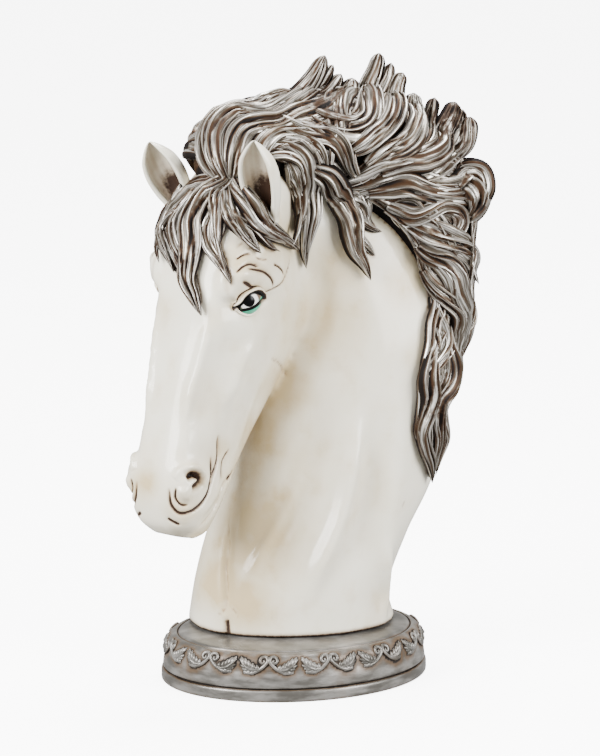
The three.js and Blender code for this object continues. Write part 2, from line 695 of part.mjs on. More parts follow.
const ivory = new THREE.MeshStandardMaterial({ color: 0xe9e2d4, roughness: 0.3, metalness: 0 });
ivory.name = "ivory_resin";
const silver = new THREE.MeshStandardMaterial({ color: 0x9a948a, roughness: 0.4, metalness: 0.5 });
silver.name = "silver_resin";

function piece(name, body, material) {
  const mesh = new THREE.Mesh(withoutSlivers(body), material);
  mesh.name = name;
  return mesh;
}

const sculpture = new THREE.Group();
sculpture.add(piece("plinth", plinthBody(), silver));
sculpture.add(piece("horse_bust", bustBody(), ivory));

export default sculpture;
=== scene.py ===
import json
import math

import bmesh
import bpy
import numpy as np
from mathutils import Matrix
from mathutils.bvhtree import BVHTree
from mathutils.kdtree import KDTree

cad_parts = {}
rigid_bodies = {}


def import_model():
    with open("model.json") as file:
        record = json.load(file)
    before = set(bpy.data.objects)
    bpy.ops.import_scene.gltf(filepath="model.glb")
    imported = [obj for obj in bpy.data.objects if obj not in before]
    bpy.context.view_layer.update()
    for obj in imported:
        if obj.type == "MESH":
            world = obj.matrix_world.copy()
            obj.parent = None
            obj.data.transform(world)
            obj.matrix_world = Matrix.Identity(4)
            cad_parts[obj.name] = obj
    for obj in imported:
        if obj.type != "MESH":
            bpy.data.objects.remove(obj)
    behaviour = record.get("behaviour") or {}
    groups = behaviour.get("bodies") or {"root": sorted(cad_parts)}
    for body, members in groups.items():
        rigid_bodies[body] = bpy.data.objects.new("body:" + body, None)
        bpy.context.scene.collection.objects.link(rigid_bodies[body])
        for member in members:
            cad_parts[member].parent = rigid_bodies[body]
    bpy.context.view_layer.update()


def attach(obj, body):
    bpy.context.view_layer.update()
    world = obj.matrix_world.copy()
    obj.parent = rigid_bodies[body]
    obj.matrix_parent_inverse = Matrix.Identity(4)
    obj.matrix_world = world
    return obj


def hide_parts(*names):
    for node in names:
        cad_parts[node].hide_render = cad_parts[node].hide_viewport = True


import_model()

bl_info = {
    "name": "Horse head sculpture",
    "version": (1, 0, 0),
    "blender": (4, 5, 0),
    "location": "3D View > Sidebar > Horse head",
    "description": "Dresses the packed horse head sculpture: painted casting, mane, eyes and plinth",
    "category": "Object",
}

MM = 0.001

# Bust frame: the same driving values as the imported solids, in millimetres
FOOT_LEVEL = 27.3
PLINTH_LENGTH = 150.0
PLINTH_WIDTH = 120.0
SLAB_HEIGHT = 6.0
BAND_HEIGHT = 14.0
SHOULDER_HEIGHT = 7.0
FRIEZE_PAIRS = 12
HEAD_TURN = math.radians(31)
FACE_SLOPE = math.radians(16.3)
POLL = np.array([-44.0, -7.0, 262.0 + FOOT_LEVEL])
UP = np.array([0.0, 0.0, 1.0])
FACING = np.array([-math.cos(HEAD_TURN), -math.sin(HEAD_TURN), 0.0])
LEFT = np.array([math.sin(HEAD_TURN), -math.cos(HEAD_TURN), 0.0])
ALONG = FACING * math.sin(FACE_SLOPE) - UP * math.cos(FACE_SLOPE)
OUT = FACING * math.cos(FACE_SLOPE) + UP * math.sin(FACE_SLOPE)
HEAD_AXES = np.array([ALONG, LEFT, OUT])

# The picture plane: where the photographed side is seen from, a little above, with the size of a
# pixel in millimetres, the pixel over the origin and the picture's size in pixels
PIXEL = 0.555
PICTURE_ORIGIN = (294, 672)
PICTURE_SIZE = (600, 756)
SIDE_TURN = math.radians(-20)
SIDE_TILT = math.radians(14.2)
SIDE_RIGHT = np.array([math.cos(SIDE_TURN), math.sin(SIDE_TURN), 0.0])
SIDE_AWAY = np.array([
    -math.sin(SIDE_TURN) * math.cos(SIDE_TILT),
    math.cos(SIDE_TURN) * math.cos(SIDE_TILT),
    -math.sin(SIDE_TILT),
])
SIDE_UP = np.cross(SIDE_RIGHT, SIDE_AWAY)

# Along the face: place, face, jaw, then half widths at bridge edge, eye level, cheek, jaw edge
HEAD_ROWS = [
    [-8, -12, -38, 8, 14, 14, 8],
    [-2, 0, -50, 14, 23, 23, 14],
    [10, 7, -57, 19, 28, 26, 17],
    [30, 12, -62, 22, 32, 28, 18],
    [50, 14.5, -73, 24, 33, 30, 18],
    [66, 15, -78, 23, 33, 30, 17],
    [86, 14, -76, 20.5, 29.5, 29, 17],
    [104, 13.6, -68, 18, 26, 26, 16],
    [121, 13.7, -61, 16.5, 23, 22, 14.5],
    [140, 13.5, -53, 15.5, 20.5, 19, 13],
    [155, 13.5, -47, 15, 19.5, 18.5, 12.5],
    [170, 13, -42, 16, 21.5, 19.5, 12.5],
    [182, 10.5, -37.5, 16, 21.5, 19, 12],
    [191, 6, -33.5, 14, 19.5, 17, 11],
    [196, 2, -31, 11, 15.5, 14, 9.5],
    [200, -5, -26, 6.5, 9.5, 8.5, 6],
]
SECTION_LEVELS = [0.05, 0.3, 0.6, 0.92]

# Up the neck: place, throat x, y, z, crest x, y, z, left and right half widths
NECK_ROWS = [
    [0, -52, 28, 0, 60, 4, 0, 44.4, 28.8],
    [1, -49, 25, 24, 57, 6, 20, 44, 29],
    [2, -44, 21, 48, 68, 7, 49, 40, 30],
    [3, -36, 18, 73, 84, 8, 81, 37, 31],
    [4, -29, 16, 98, 91, 9, 123, 35, 32],
    [5, -22, 15, 121, 95, 11, 163, 34, 32],
    [6, -16, 14, 141, 84, 15, 201, 32, 32],
    [7, -12, 13, 159, 64, 19, 233, 30, 30],
    [8, -10, 12, 175, 38, 21, 255, 28, 28],
    [9, -16, 8, 190, 4, 15, 266, 26, 26],
    [10, -30, 1, 205, -28, 2, 263, 22, 22],
]
NECK_END = NECK_ROWS[-1][0]
NECK_FULLNESS = 0.82

# Along the crest: place, inner x, y, z, outer x, y, z, half width, turn of the middle plane
MANE_ROWS = [
    [0, 76, 8, 86, 81, 8, 80, 4, -3],
    [1, 78, 9, 116, 86, 9, 112, 9, -3],
    [2, 79, 10, 145, 96, 10, 146, 14, -2],
    [3, 77, 12, 170, 102, 11, 179, 20, -1],
    [4, 66, 14, 195, 101, 13, 213, 25, 2],
    [5, 48, 17, 215, 95, 18, 253, 28, 6],
    [6, 26, 18, 228, 71, 22, 283, 29, 12],
    [7, 6, 15, 238, 30, 21, 291, 28, 19],
    [8, -14, 8, 242, -11, 13, 290, 25, 26],
    [9, -30, 1, 243, -40, 2, 284, 22, 31],
    [10, -39, -4, 246, -52, -7, 273, 16, 31],
    [11, -45, -8, 248, -56, -11, 260, 8, 31],
]
CREST_END = MANE_ROWS[-1][0]
MANE_FULLNESS = 0.85

# Locks of the forelock, the crown, the crest, the neck's side and the mane's back, in millimetres
# of the picture plane: width, then the points that the lock is drawn through
LOCKS = [
    [13, [-42, 273], [-57, 262], [-68, 247], [-69, 233], [-63, 220]],
    [12, [-39, 273], [-57, 254], [-62, 236], [-52, 212]],
    [15, [-36, 273], [-46, 259], [-55, 240], [-55, 220], [-49, 197]],
    [13, [-35, 272], [-33, 254], [-27, 240], [-19, 231]],
    [14, [-33, 272], [-23, 250], [-11, 242], [0, 233]],
    [12, [-37, 273], [-41, 252], [-40, 234]],
    [15, [-36, 270], [-45, 281], [-47, 293], [-39, 302], [-26, 308], [-8, 313], [6, 320], [17, 340]],
    [16, [-36, 271], [-42, 284], [-40, 296], [-28, 304], [-8, 308], [14, 316], [26, 330]],
    [15, [-34, 273], [-32, 287], [-25, 297], [-9, 303], [11, 305], [28, 316]],
    [15, [-25, 272], [-19, 288], [-3, 296], [15, 299], [32, 309]],
    [16, [4, 307], [26, 298], [39, 305], [43, 320], [47, 342]],
    [15, [30, 288], [47, 298], [54, 314], [60, 331]],
    [16, [14, 287], [22, 302], [29, 317], [32, 328]],
    [16, [38, 280], [57, 289], [65, 304], [66, 320]],
    [16, [46, 277], [70, 284], [83, 300], [89, 315]],
    [15, [54, 271], [79, 279], [93, 293], [97, 307]],
    [15, [62, 266], [84, 270], [97, 278], [105, 271], [103, 260], [99, 252]],
    [17, [26, 270], [56, 281], [74, 287], [89, 280], [97, 262]],
    [17, [40, 266], [66, 269], [86, 262], [96, 248], [99, 231]],
    [14, [50, 259], [67, 255], [81, 256], [89, 248], [77, 235]],
    [17, [62, 250], [82, 241], [94, 226], [99, 206]],
    [17, [69, 238], [86, 221], [92, 202], [90, 180]],
    [14, [73, 225], [87, 202], [86, 180], [81, 152]],
    [13, [76, 208], [80, 186], [74, 166], [76, 141]],
    [14, [82, 192], [83, 170], [78, 146], [75, 110]],
    [13, [75, 182], [71, 158], [70, 134], [74, 106]],
    [14, [93, 212], [92, 194], [85, 172], [80, 150]],
    [15, [-15, 289], [-3, 288], [8, 277], [9, 261], [5, 245], [6, 224]],
    [12, [-5, 281], [2, 270], [2, 256], [-1, 243]],
    [17, [8, 278], [22, 271], [26, 255], [28, 240], [37, 227], [41, 217]],
    [13, [22, 274], [32, 260], [36, 250], [47, 243]],
    [15, [-10, 304], [5, 294], [15, 283], [18, 268]],
    [15, [-3, 299], [14, 293], [28, 283], [38, 270]],
    [12, [38, 264], [52, 269], [66, 263], [76, 254], [80, 243]],
    [12, [51, 259], [62, 262], [74, 256], [84, 246], [88, 232]],
    [12, [60, 249], [70, 252], [82, 244], [90, 226]],
    [12, [66, 237], [76, 239], [88, 227], [94, 208]],
    [11, [72, 222], [82, 223], [91, 207], [93, 188]],
    [11, [76, 206], [84, 204], [90, 188], [88, 168]],
    [11, [33, 267], [49, 263], [61, 252.5], [69, 239], [75.5, 223], [79, 205]],
    [11, [70, 236], [77, 219], [79, 202], [74, 187], [70, 170], [69, 148]],
    [19, [84, 268], [96, 271], [102, 264], [99, 254], [94, 248]],
]
# The drawn pieces of the mane: first row, the row after the last, and how blunt the tips are
LOCK_GROUPS = {
    "mane_forelock": (0, 6, 0.0),
    "mane_crown": (6, 17, 0.45),
    "mane_fall": (17, 27, 0.0),
    "mane_cheek": (27, 33, 0.0),
    "mane_edge": (33, 42, 0.0),
}

# Ears: share of the height, half width, wall; base and tip on the head's own axes
EAR_ROWS = [
    [-0.12, 7.5, 3.2], [0.08, 9, 3], [0.25, 10.8, 2.8], [0.5, 11.8, 2.5], [0.72, 10.2, 2.2],
    [0.86, 6.8, 1.9], [0.95, 3.6, 1.4], [1, 1.3, 0.7],
]
EAR_BASES = {1: [17, 29, -6], -1: [21, 29, -6]}
EAR_TIPS = {1: [-19.5, 36.5, 24], -1: [-9, 37, 21]}
EAR_OPENINGS = {1: math.radians(13), -1: math.radians(10)}
EAR_WRAP = math.radians(118)

EYE = np.array([65.0, 25.0, -7.0])
EYE_RADIUS = 9.5
LID_REACH = 26.0
NOSTRIL = np.array([171.0, 19.0, 4.0])
EYE_DRAWN, NOSTRIL_DRAWN, LINES_DRAWN = 19.0, 15.0, 30.0
MUZZLE_START, MUZZLE_END, MUZZLE_DEPTH = 120.0, 205.0, 60.0
# Lines narrower than the first keep blunt ends, and forms wider than the second carry no wash: their
# stain is a warmer tint, painted shade in their hollows
FINE_LINE = 2.5
BROAD_FORM = 4.0
# Two drawn locks have one between them if their ends lie this near in all
NEIGHBOURS = 52.0
# The lowest hair, and how far it stains the skin
LOWEST_HAIR = 110.0
HAIR_STAIN = 1.5
# How far the ambient occlusion, painted into the ivory as shade, looks for a form, and in how many
# directions that is looked at
OCCLUSION_REACH = 60.0
DIRECTIONS = 12
GOLDEN_ANGLE = 2.399963


def unit(v):
    """Vectors scaled to length one, along the last axis."""
    return v / np.maximum(np.linalg.norm(v, axis=-1, keepdims=True), 1e-9)


def hermite(start, end, slope_in, slope_out, t):
    """The cubic from start to end with the given slopes, at shares t of the way."""
    h = t * t * (3 - 2 * t)
    return start * (1 - h) + end * h + t * (1 - t) ** 2 * slope_in - t * t * (1 - t) * slope_out


def row_at(rows, places):
    """Rows read at any places: a cubic Hermite curve through each column, with the slope at each
    row taken between its two neighbours."""
    rows = np.asarray(rows, float)
    places = np.atleast_1d(np.asarray(places, float))
    x = rows[:, 0]
    last = len(x) - 1
    i = np.clip(np.searchsorted(x, places), 1, last)
    p0, p1, p2, p3 = (rows[np.clip(i + k, 0, last)] for k in (-2, -1, 0, 1))
    span = p2[:, :1] - p1[:, :1]
    t = np.clip((places[:, None] - p1[:, :1]) / span, 0, 1)
    slope_in = span * (p2 - p0) / (p2[:, :1] - p0[:, :1])
    slope_out = span * (p3 - p1) / (p3[:, :1] - p1[:, :1])
    return hermite(p1, p2, slope_in, slope_out, t)


def spline(points, count, closed=False):
    """count points on a centripetal Catmull-Rom curve through points (the last two axes), evenly
    by number: on each stretch a Hermite cubic whose end slopes weigh the chords by their roots."""
    points = np.asarray(points, float)
    n = points.shape[-2]
    stretches = n if closed else n - 1
    at = np.arange(count) * (stretches / count) if closed else np.linspace(0, stretches, count)
    k = np.minimum(at.astype(int), stretches - 1)
    t = (at - k)[:, None]
    if closed:
        p0, p1, p2, p3 = (points[..., (k + j) % n, :] for j in (-1, 0, 1, 2))
    else:
        before = 2 * points[..., :1, :] - points[..., 1:2, :]
        after = 2 * points[..., -1:, :] - points[..., -2:-1, :]
        padded = np.concatenate([before, points, after], -2)
        p0, p1, p2, p3 = (padded[..., k + j, :] for j in (0, 1, 2, 3))
    d0, d1, d2 = (
        np.sqrt(np.maximum(np.linalg.norm(b - a, axis=-1, keepdims=True), 1e-6))
        for a, b in ((p0, p1), (p1, p2), (p2, p3))
    )
    slope_in = d1 * ((p1 - p0) / d0 - (p2 - p0) / (d0 + d1) + (p2 - p1) / d1)
    slope_out = d1 * ((p2 - p1) / d1 - (p3 - p1) / (d1 + d2) + (p3 - p2) / d2)
    return hermite(p1, p2, slope_in, slope_out, t)


def run_of(points):
    """The length along a path."""
    return np.linalg.norm(np.diff(points, axis=0), axis=1).sum()


def even(points, count):
    """A path with its points moved to even steps of length along it."""
    steps = np.linalg.norm(np.diff(points, axis=0), axis=1)
    length = np.concatenate([[0], np.cumsum(steps)])
    at = np.linspace(0, length[-1], count)
    return np.stack([np.interp(at, length, points[:, i]) for i in range(points.shape[1])], 1)


def stepped(points, outwards, spacing, fewest):
    """A path and its directions at even steps of about spacing, with at least fewest points."""
    count = max(int(run_of(points) / spacing), fewest)
    return even(points, count), unit(even(outwards, count))


def swept(points, across, outwards, x, y):
    """Rings round a path: each point + across * x + outwards * y, with a row of x and y a ring."""
    return points[:, None] + across[:, None] * x[..., None] + outwards[:, None] * y[..., None]


def head_point(a, l, o):
    """POLL + a along the face + l to the left + o out of it."""
    return POLL + np.stack(np.broadcast_arrays(a, l, o), -1) @ HEAD_AXES


def grid_faces(rows, columns):
    """Quads between neighbouring rows and columns of a grid that is closed round its columns."""
    r, c = np.meshgrid(np.arange(rows - 1), np.arange(columns), indexing="ij")
    a = r * columns + c
    b = r * columns + (c + 1) % columns
    return np.stack([a, b, b + columns, a + columns], -1).reshape(-1, 4)


def loft(rings):
    """A closed body from rings of points: quads between neighbouring rings, and a fan of
    triangles from each end ring to its mean. Returns points, quads and triangles."""
    rows, columns = rings.shape[:2]
    points = np.concatenate([rings.reshape(-1, 3), rings[0].mean(0)[None], rings[-1].mean(0)[None]])
    quads = grid_faces(rows, columns)
    c = np.arange(columns)
    after = (c + 1) % columns
    first = np.stack([np.full(columns, rows * columns), after, c], 1)
    start = (rows - 1) * columns
    last = np.stack([np.full(columns, rows * columns + 1), start + c, start + after], 1)
    triangles = np.concatenate([first, last])
    return outward(points, quads, triangles)


def outward(points, quads, triangles):
    """The same body with its faces turned outwards: the volume, summed as corner a . (b x c) over
    the triangles, is positive when they are."""
    flat = np.concatenate([quads[:, [0, 1, 2]], quads[:, [0, 2, 3]], triangles])
    a, b, c = (points[flat[:, i]] for i in range(3))
    if np.einsum("ij,ij->", a, np.cross(b, c)) < 0:
        quads, triangles = quads[:, ::-1], triangles[:, ::-1]
    return points, quads, triangles


def gather(bodies):
    """Several bodies, each points, quads and triangles, as one."""
    points, quads, triangles, count = [], [], [], 0
    for p, q, t in bodies:
        points.append(p)
        quads.append(q + count)
        triangles.append(t + count)
        count += len(p)
    return np.concatenate(points), np.concatenate(quads), np.concatenate(triangles)


def new_mesh(name, points, quads, triangles):
    """A smooth mesh object from points in millimetres, quads and triangles, as whole arrays."""
    mesh = bpy.data.meshes.new(name)
    mesh.vertices.add(len(points))
    mesh.vertices.foreach_set("co", (points * MM).astype(np.float32).ravel())
    loops = np.concatenate([quads.ravel(), triangles.ravel()]).astype(np.int32)
    mesh.loops.add(len(loops))
    mesh.loops.foreach_set("vertex_index", loops)
    sizes = np.concatenate([np.full(len(quads), 4), np.full(len(triangles), 3)])
    mesh.polygons.add(len(sizes))
    starts = np.concatenate([[0], np.cumsum(sizes)[:-1]]).astype(np.int32)
    mesh.polygons.foreach_set("loop_start", starts)
    mesh.polygons.foreach_set("use_smooth", np.ones(len(sizes), bool))
    mesh.update(calc_edges=True)
    mesh.validate()
    return linked(bpy.data.objects.new(name, mesh))


def linked(thing):
    """The object, once it is in the scene."""
    bpy.context.scene.collection.objects.link(thing)
    return thing


def lines_at(rows, places):
    """The two lines that a body's sections run between, read at any places, and what the rows
    hold after them."""
    row = row_at(rows, places)
    lift = FOOT_LEVEL * UP
    return row[:, 1:4] + lift, row[:, 4:7] + lift, row[:, 7:]


def slices(start, end, turn, halves, fullness, sides):
    """Sections from one point to another, each swelling sideways by its left and right half width:
    middle - half * cos(angle) + side * width * sin(angle) ** fullness."""
    side = np.stack([np.sin(turn), -np.cos(turn), np.zeros_like(turn)], -1)
    angle = np.arange(sides) / sides * 2 * math.pi
    across = np.sign(np.sin(angle)) * np.abs(np.sin(angle)) ** fullness
    width = np.where(across > 0, halves[:, :1], halves[:, -1:])
    return swept((start + end) / 2, (end - start) / 2, side, -np.cos(angle)[None], across * width)


def neck_body(steps=150, sides=128):
    """The neck: sections from the throat line to the crest line."""
    throat, crest, halves = lines_at(NECK_ROWS, np.linspace(0, NECK_END, steps))
    turn = np.arctan2(crest[:, 1] - throat[:, 1], crest[:, 0] - throat[:, 0])
    return loft(slices(throat, crest, turn, halves, NECK_FULLNESS, sides))


def head_body(steps=150, sides=120):
    """The head: rounded sections square to the face, from the poll to the lips."""
    places = np.linspace(HEAD_ROWS[0][0], HEAD_ROWS[-1][0], steps)
    row = row_at(HEAD_ROWS, places)
    face, jaw, widths = row[:, 1:2], row[:, 2:3], row[:, 3:]
    levels = face + (jaw - face) * np.array(SECTION_LEVELS)
    zero = np.zeros_like(face)
    l = np.concatenate([zero, widths, zero, -widths[:, ::-1]], 1)
    o = np.concatenate([face, levels, jaw, levels[:, ::-1]], 1)
    ring = spline(np.stack([l, o], -1), sides, closed=True)
    return loft(head_point(places[:, None], ring[..., 0], ring[..., 1]))


def mane_rings(steps, sides):
    """Sections of the mane's core across the crest."""
    inner, outer, rest = lines_at(MANE_ROWS, np.linspace(0, CREST_END, steps))
    return slices(inner, outer, np.radians(rest[:, 1]), rest[:, :1], MANE_FULLNESS, sides)


def head_ellipsoid(centre, halves, count=40):
    """An ellipsoid on the head's own axes: centre + halves * (sin b cos a, sin b sin a, cos b)."""
    b = np.linspace(0.02, math.pi - 0.02, count)[:, None]
    a = np.arange(count * 2) / (count * 2) * 2 * math.pi
    ball = np.stack([np.sin(b) * np.cos(a), np.sin(b) * np.sin(a), np.cos(b) + 0 * a], -1)
    local = np.asarray(centre) + ball * np.asarray(halves)
    return loft(head_point(local[..., 0], local[..., 1], local[..., 2]))


def ear_frame(side):
    """Base, tip, axis, opening direction and sideways direction of an ear."""
    base, tip = (head_point(p[0], side * p[1], p[2]) for p in (EAR_BASES[side], EAR_TIPS[side]))
    axis = unit(tip - base)
    opening = FACING * math.cos(EAR_OPENINGS[side]) + LEFT * math.sin(EAR_OPENINGS[side])
    opening = unit(opening - axis * (opening @ axis))
    return base, tip, axis, opening, np.cross(axis, opening)


def ear_body(side, steps, arc):
    """An ear: a shell wrapped round its axis and open in front; each section is an outer arc and
    an inner arc back, at the half width less the wall."""
    base, tip, _, opening, across = ear_frame(side)
    row = row_at(EAR_ROWS, np.linspace(EAR_ROWS[0][0], 1, steps))
    angle = np.linspace(-EAR_WRAP, EAR_WRAP, arc)
    centre = base + row[:, :1] * (tip - base)
    half, wall = row[:, 1:2], row[:, 2:3]
    inner = np.maximum(half - wall, half * 0.4)

    def arc_at(radius, angles):
        x, y = radius * np.sin(angles), -0.8 * radius * np.cos(angles)
        return swept(centre, across[None], opening[None], x, y)

    return loft(np.concatenate([arc_at(half, angle), arc_at(inner, angle[::-1])], 1))


def bulges(side, count=40):
    """The round forms of one side of the head: eye socket, cheek and nostril."""
    return [
        head_ellipsoid([57, side * 22, 1], [17, 12.5, 13], count),
        head_ellipsoid([62, side * 17, -52], [29, 13, 23], count),
        head_ellipsoid([168, side * 14.5, 3], [13, 8.5, 9.5], count),
    ]


def edges_of(mesh):
    """The mesh's edges as pairs of vertex numbers."""
    pairs = np.empty(len(mesh.edges) * 2, np.int32)
    mesh.edges.foreach_get("vertices", pairs)
    return pairs.reshape(-1, 2)


def vertex_values(mesh, name):
    """Each vertex's place (co) or its normal, as the mesh holds them."""
    flat = np.empty(len(mesh.vertices) * 3, np.float32)
    mesh.vertices.foreach_get(name, flat)
    return flat.reshape(-1, 3).astype(float)


def coordinates(mesh):
    """The mesh's points, in millimetres."""
    return vertex_values(mesh, "co") / MM


def put(mesh, points):
    """Writes points in millimetres back to the mesh."""
    mesh.vertices.foreach_set("co", (points * MM).astype(np.float32).ravel())
    mesh.update()


def neighbour_mean(values, pairs):
    """The mean of each vertex's neighbours along the edges."""
    count = np.bincount(pairs.ravel(), minlength=len(values)).clip(1)
    total = np.zeros_like(values)
    for i in range(values.shape[1]):
        total[:, i] = np.bincount(pairs[:, 0], values[pairs[:, 1], i], len(values))
        total[:, i] += np.bincount(pairs[:, 1], values[pairs[:, 0], i], len(values))
    return total / count[:, None]


def relaxed(points, pairs, rounds, weight=0.5, back=-0.53):
    """Points smoothed without shrinking: each round moves them towards their neighbours' mean by
    weight, then away from it by back."""
    for _ in range(rounds):
        points = points + weight * (neighbour_mean(points, pairs) - points)
        points = points + back * (neighbour_mean(points, pairs) - points)
    return points


def mirrored(points):
    """Places on the head's own axes, and the same with the far side folded onto the near one."""
    local = (points - POLL) @ HEAD_AXES.T
    folded = local.copy()
    folded[:, 1] = np.abs(folded[:, 1])
    return local, folded


def on_picture(points):
    """Points as seen from the photographed side: right and up in the picture plane."""
    return np.stack([points @ SIDE_RIGHT, points @ SIDE_UP], -1)


def path_distance(points, path):
    """Each point's distance to a line of straight stretches, and its share of the way along it."""
    best = np.full(len(points), 1e9)
    share = np.zeros(len(points))
    stretches = len(path) - 1
    for i in range(stretches):
        a, b = path[i], path[i + 1]
        along = b - a
        t = np.clip((points - a) @ along / max(along @ along, 1e-9), 0, 1)
        d = np.linalg.norm(points - a - t[:, None] * along, axis=1)
        nearer = d < best
        best = np.where(nearer, d, best)
        share = np.where(nearer, (i + t) / stretches, share)
    return best, share


# How far before the picture plane a line of sight starts, in millimetres
SIGHT = 700.0


def tree_of(bodies):
    """A tree for ray casting over several bodies, in millimetres."""
    points, quads, triangles = gather(bodies)
    return BVHTree.FromPolygons(points.tolist(), quads.tolist() + triangles.tolist())


def lay(path, tree, lift=0.0, spacing=1.2, ease=9):
    """A path drawn in the picture plane laid on the bodies behind it: it is drawn again as a
    smooth curve with even steps, each step is moved along the line of sight to the first surface,
    and the depths and directions are averaged over ease steps. Returns points and directions."""
    smooth = spline(path, len(path) * 12)
    smooth = even(smooth, max(int(run_of(smooth) / spacing), 6))
    flat = smooth[:, :1] * SIDE_RIGHT + smooth[:, 1:] * SIDE_UP
    depths, outwards = [], []
    for p in flat:
        start = p - SIGHT * SIDE_AWAY
        hit, normal, _, distance = tree.ray_cast(start.tolist(), SIDE_AWAY.tolist())
        before = depths[-1] if depths else np.nan
        depths.append(before if hit is None else distance - SIGHT)
        outwards.append(-SIDE_AWAY if hit is None else np.array(normal))
    depths, outwards = np.array(depths), np.array(outwards)
    known = depths[~np.isnan(depths)]
    depths = np.where(np.isnan(depths), known[0] if len(known) else 0, depths)
    outwards[outwards @ SIDE_AWAY > 0] *= -1
    depths = averaged(depths[:, None], ease)
    outwards = unit(averaged(outwards, ease) - 0.45 * SIDE_AWAY)
    return flat + depths * SIDE_AWAY + outwards * lift, outwards


def averaged(values, window):
    """A running mean over window steps, with the ends held."""
    pad = window // 2
    padded = np.pad(values, ((pad, pad), (0, 0)), mode="edge")
    total = np.cumsum(np.concatenate([np.zeros_like(values[:1]), padded]), 0)
    return (total[2 * pad + 1:] - total[:-2 * pad - 1]) / (2 * pad + 1)


# Relief drawn in the picture plane in millimetres: its width, its height (below zero for a groove),
# how much brown wash gathers there (on a wide form, how much warmer tint is painted in as shade), and
# its path. The head's is folded onto both sides.
HEAD_RELIEF = [
    # the bridge's near edge, the facial crest and the hollow between them
    [2.8, 3.0, 0.0, [-45.5, 200], [-47.2, 188.1], [-52.2, 168.2], [-56.1, 156], [-58.4, 143.7],
     [-60, 132]],
    [5.0, 2.4, 0.0, [-18, 190], [-23, 180], [-26.6, 174.3], [-32, 160], [-38.9, 143.7]],
    [9.0, -2.6, 0.0, [-33, 196], [-40, 172], [-47, 148], [-52, 124]],
    # skin creases over the brow
    [0.8, -0.8, 0.9, [-31.4, 234.4], [-28.6, 235.2]],
    [0.8, -0.9, 1.0, [-31.4, 227.3], [-28.6, 229.3], [-25.4, 230.5], [-23.5, 230.3]],
    [0.7, -0.6, 0.7, [-21.2, 228.7], [-18.6, 227.7], [-14.3, 227.8]],
    [0.9, -1.1, 1.0, [-31.6, 219.9], [-27.6, 223.6], [-24, 224.9], [-21.2, 224.3], [-18.9, 223.6]],
    [0.9, -1.1, 1.0, [-25.8, 222.3], [-18.4, 221.5], [-14.3, 219.6], [-11.5, 217.1], [-9.6, 213.2]],
    [0.8, -0.9, 1.0, [-11.5, 225.2], [-8.2, 223.8], [-5.9, 221.5], [-5.2, 219.4]],
    [1.2, -1.3, 1.15, [-28.6, 216], [-24, 215.2], [-20.7, 213.2], [-14.3, 210.2], [-10.6, 208.4]],
    [3.2, 1.5, 0.0, [-31, 215.4], [-27, 219.2], [-20, 218.6], [-14, 215.5]],
    [3.0, 1.0, 0.0, [-31, 224.4], [-25, 227.8], [-17, 226], [-11, 221]],
    # the lids' outer lines
    [0.9, -0.9, 1.5, [-34, 203], [-34.2, 200.6], [-33.6, 198]],
    [0.9, -1.0, 1.2, [-33.4, 201.2], [-32.7, 203.2], [-31.4, 206.5], [-28.6, 209.7],
     [-22.6, 212.7], [-16.1, 210.6]],
    [0.6, -0.4, 0.5, [-25.4, 197.2], [-21.2, 198.1], [-17.9, 200.5], [-15.9, 204.6]],
    # the orbit's outer edge and the tear line beside the bridge
    [1.0, -0.8, 0.7, [-13.8, 210.2], [-9.6, 212], [-5.4, 215.2], [-2.7, 222.2], [-2, 228.2]],
    [4.5, -1.2, 0.0, [-1.7, 229.2], [-4, 214.9], [-12, 204], [-20, 194]],
    [2.6, -0.8, 0.3, [-34.1, 225.9], [-36.1, 217.6], [-36.6, 212], [-36.9, 204.8]],
    # back of the jaw, its small creases and its lower edge
    [5.0, -1.6, 0.06, [10, 237], [17.2, 204.8], [10.5, 180.4], [-1.7, 163.7]],
    [1.2, -0.7, 0.5, [-12.8, 174.3], [-8, 171], [-4, 163]],
    [6.0, 1.2, 0.0, [-14, 176], [-24, 150], [-34, 122], [-40, 108]],
    # nostril: hole, its rims, the folds behind it
    [2.3, -5.5, 1.5, [-58.5, 108.8], [-54.2, 110.9], [-50.2, 109.6], [-50.6, 106.2],
     [-53.6, 103.2], [-55.2, 102.4]],
    [3.2, 1.6, 0.0, [-60.5, 105], [-59.5, 99.5], [-55, 98]],
    [2.2, 1.6, 0.0, [-65, 108.5], [-60.5, 113.6], [-53.5, 114.4], [-48.4, 110.5], [-48.6, 104]],
    [0.8, -1.1, 1.1, [-64, 103.7], [-64.4, 98], [-61.2, 94.1], [-57.3, 94.1]],
    [1.1, -1.4, 1.15, [-68.2, 103.4], [-67.9, 101.8], [-66.9, 94.1], [-62.2, 89.4], [-55.4, 90.7],
     [-48.7, 97], [-45, 107.5], [-45.3, 120.9]],
    [1.0, -1.3, 0.8, [-41.1, 132.4], [-42, 120.9], [-43.9, 111.3], [-46.4, 103.7]],
    [0.9, -0.9, 0.8, [-35.4, 124.8], [-39.2, 117.1], [-39.5, 107.5]],
    [1.0, -1.0, 1.3, [-69, 87], [-66.9, 85.5], [-64, 84], [-62, 83]],
    [3.0, 1.0, 0.0, [-43.4, 129], [-42, 116], [-43, 104], [-50, 94]],
    # mouth: corner, line and the lips' edges
    [1.5, -2.2, 1.3, [-34.2, 112.6], [-33.6, 110.6], [-36.3, 107.5]],
    [1.2, -2.0, 0.5, [-35.4, 109.3], [-38.9, 103.8], [-41.6, 94.9], [-45.5, 88.2], [-51.6, 81.6]],
    [3.0, 1.3, 0.0, [-38.6, 107], [-46, 95], [-53, 86.5]],
]
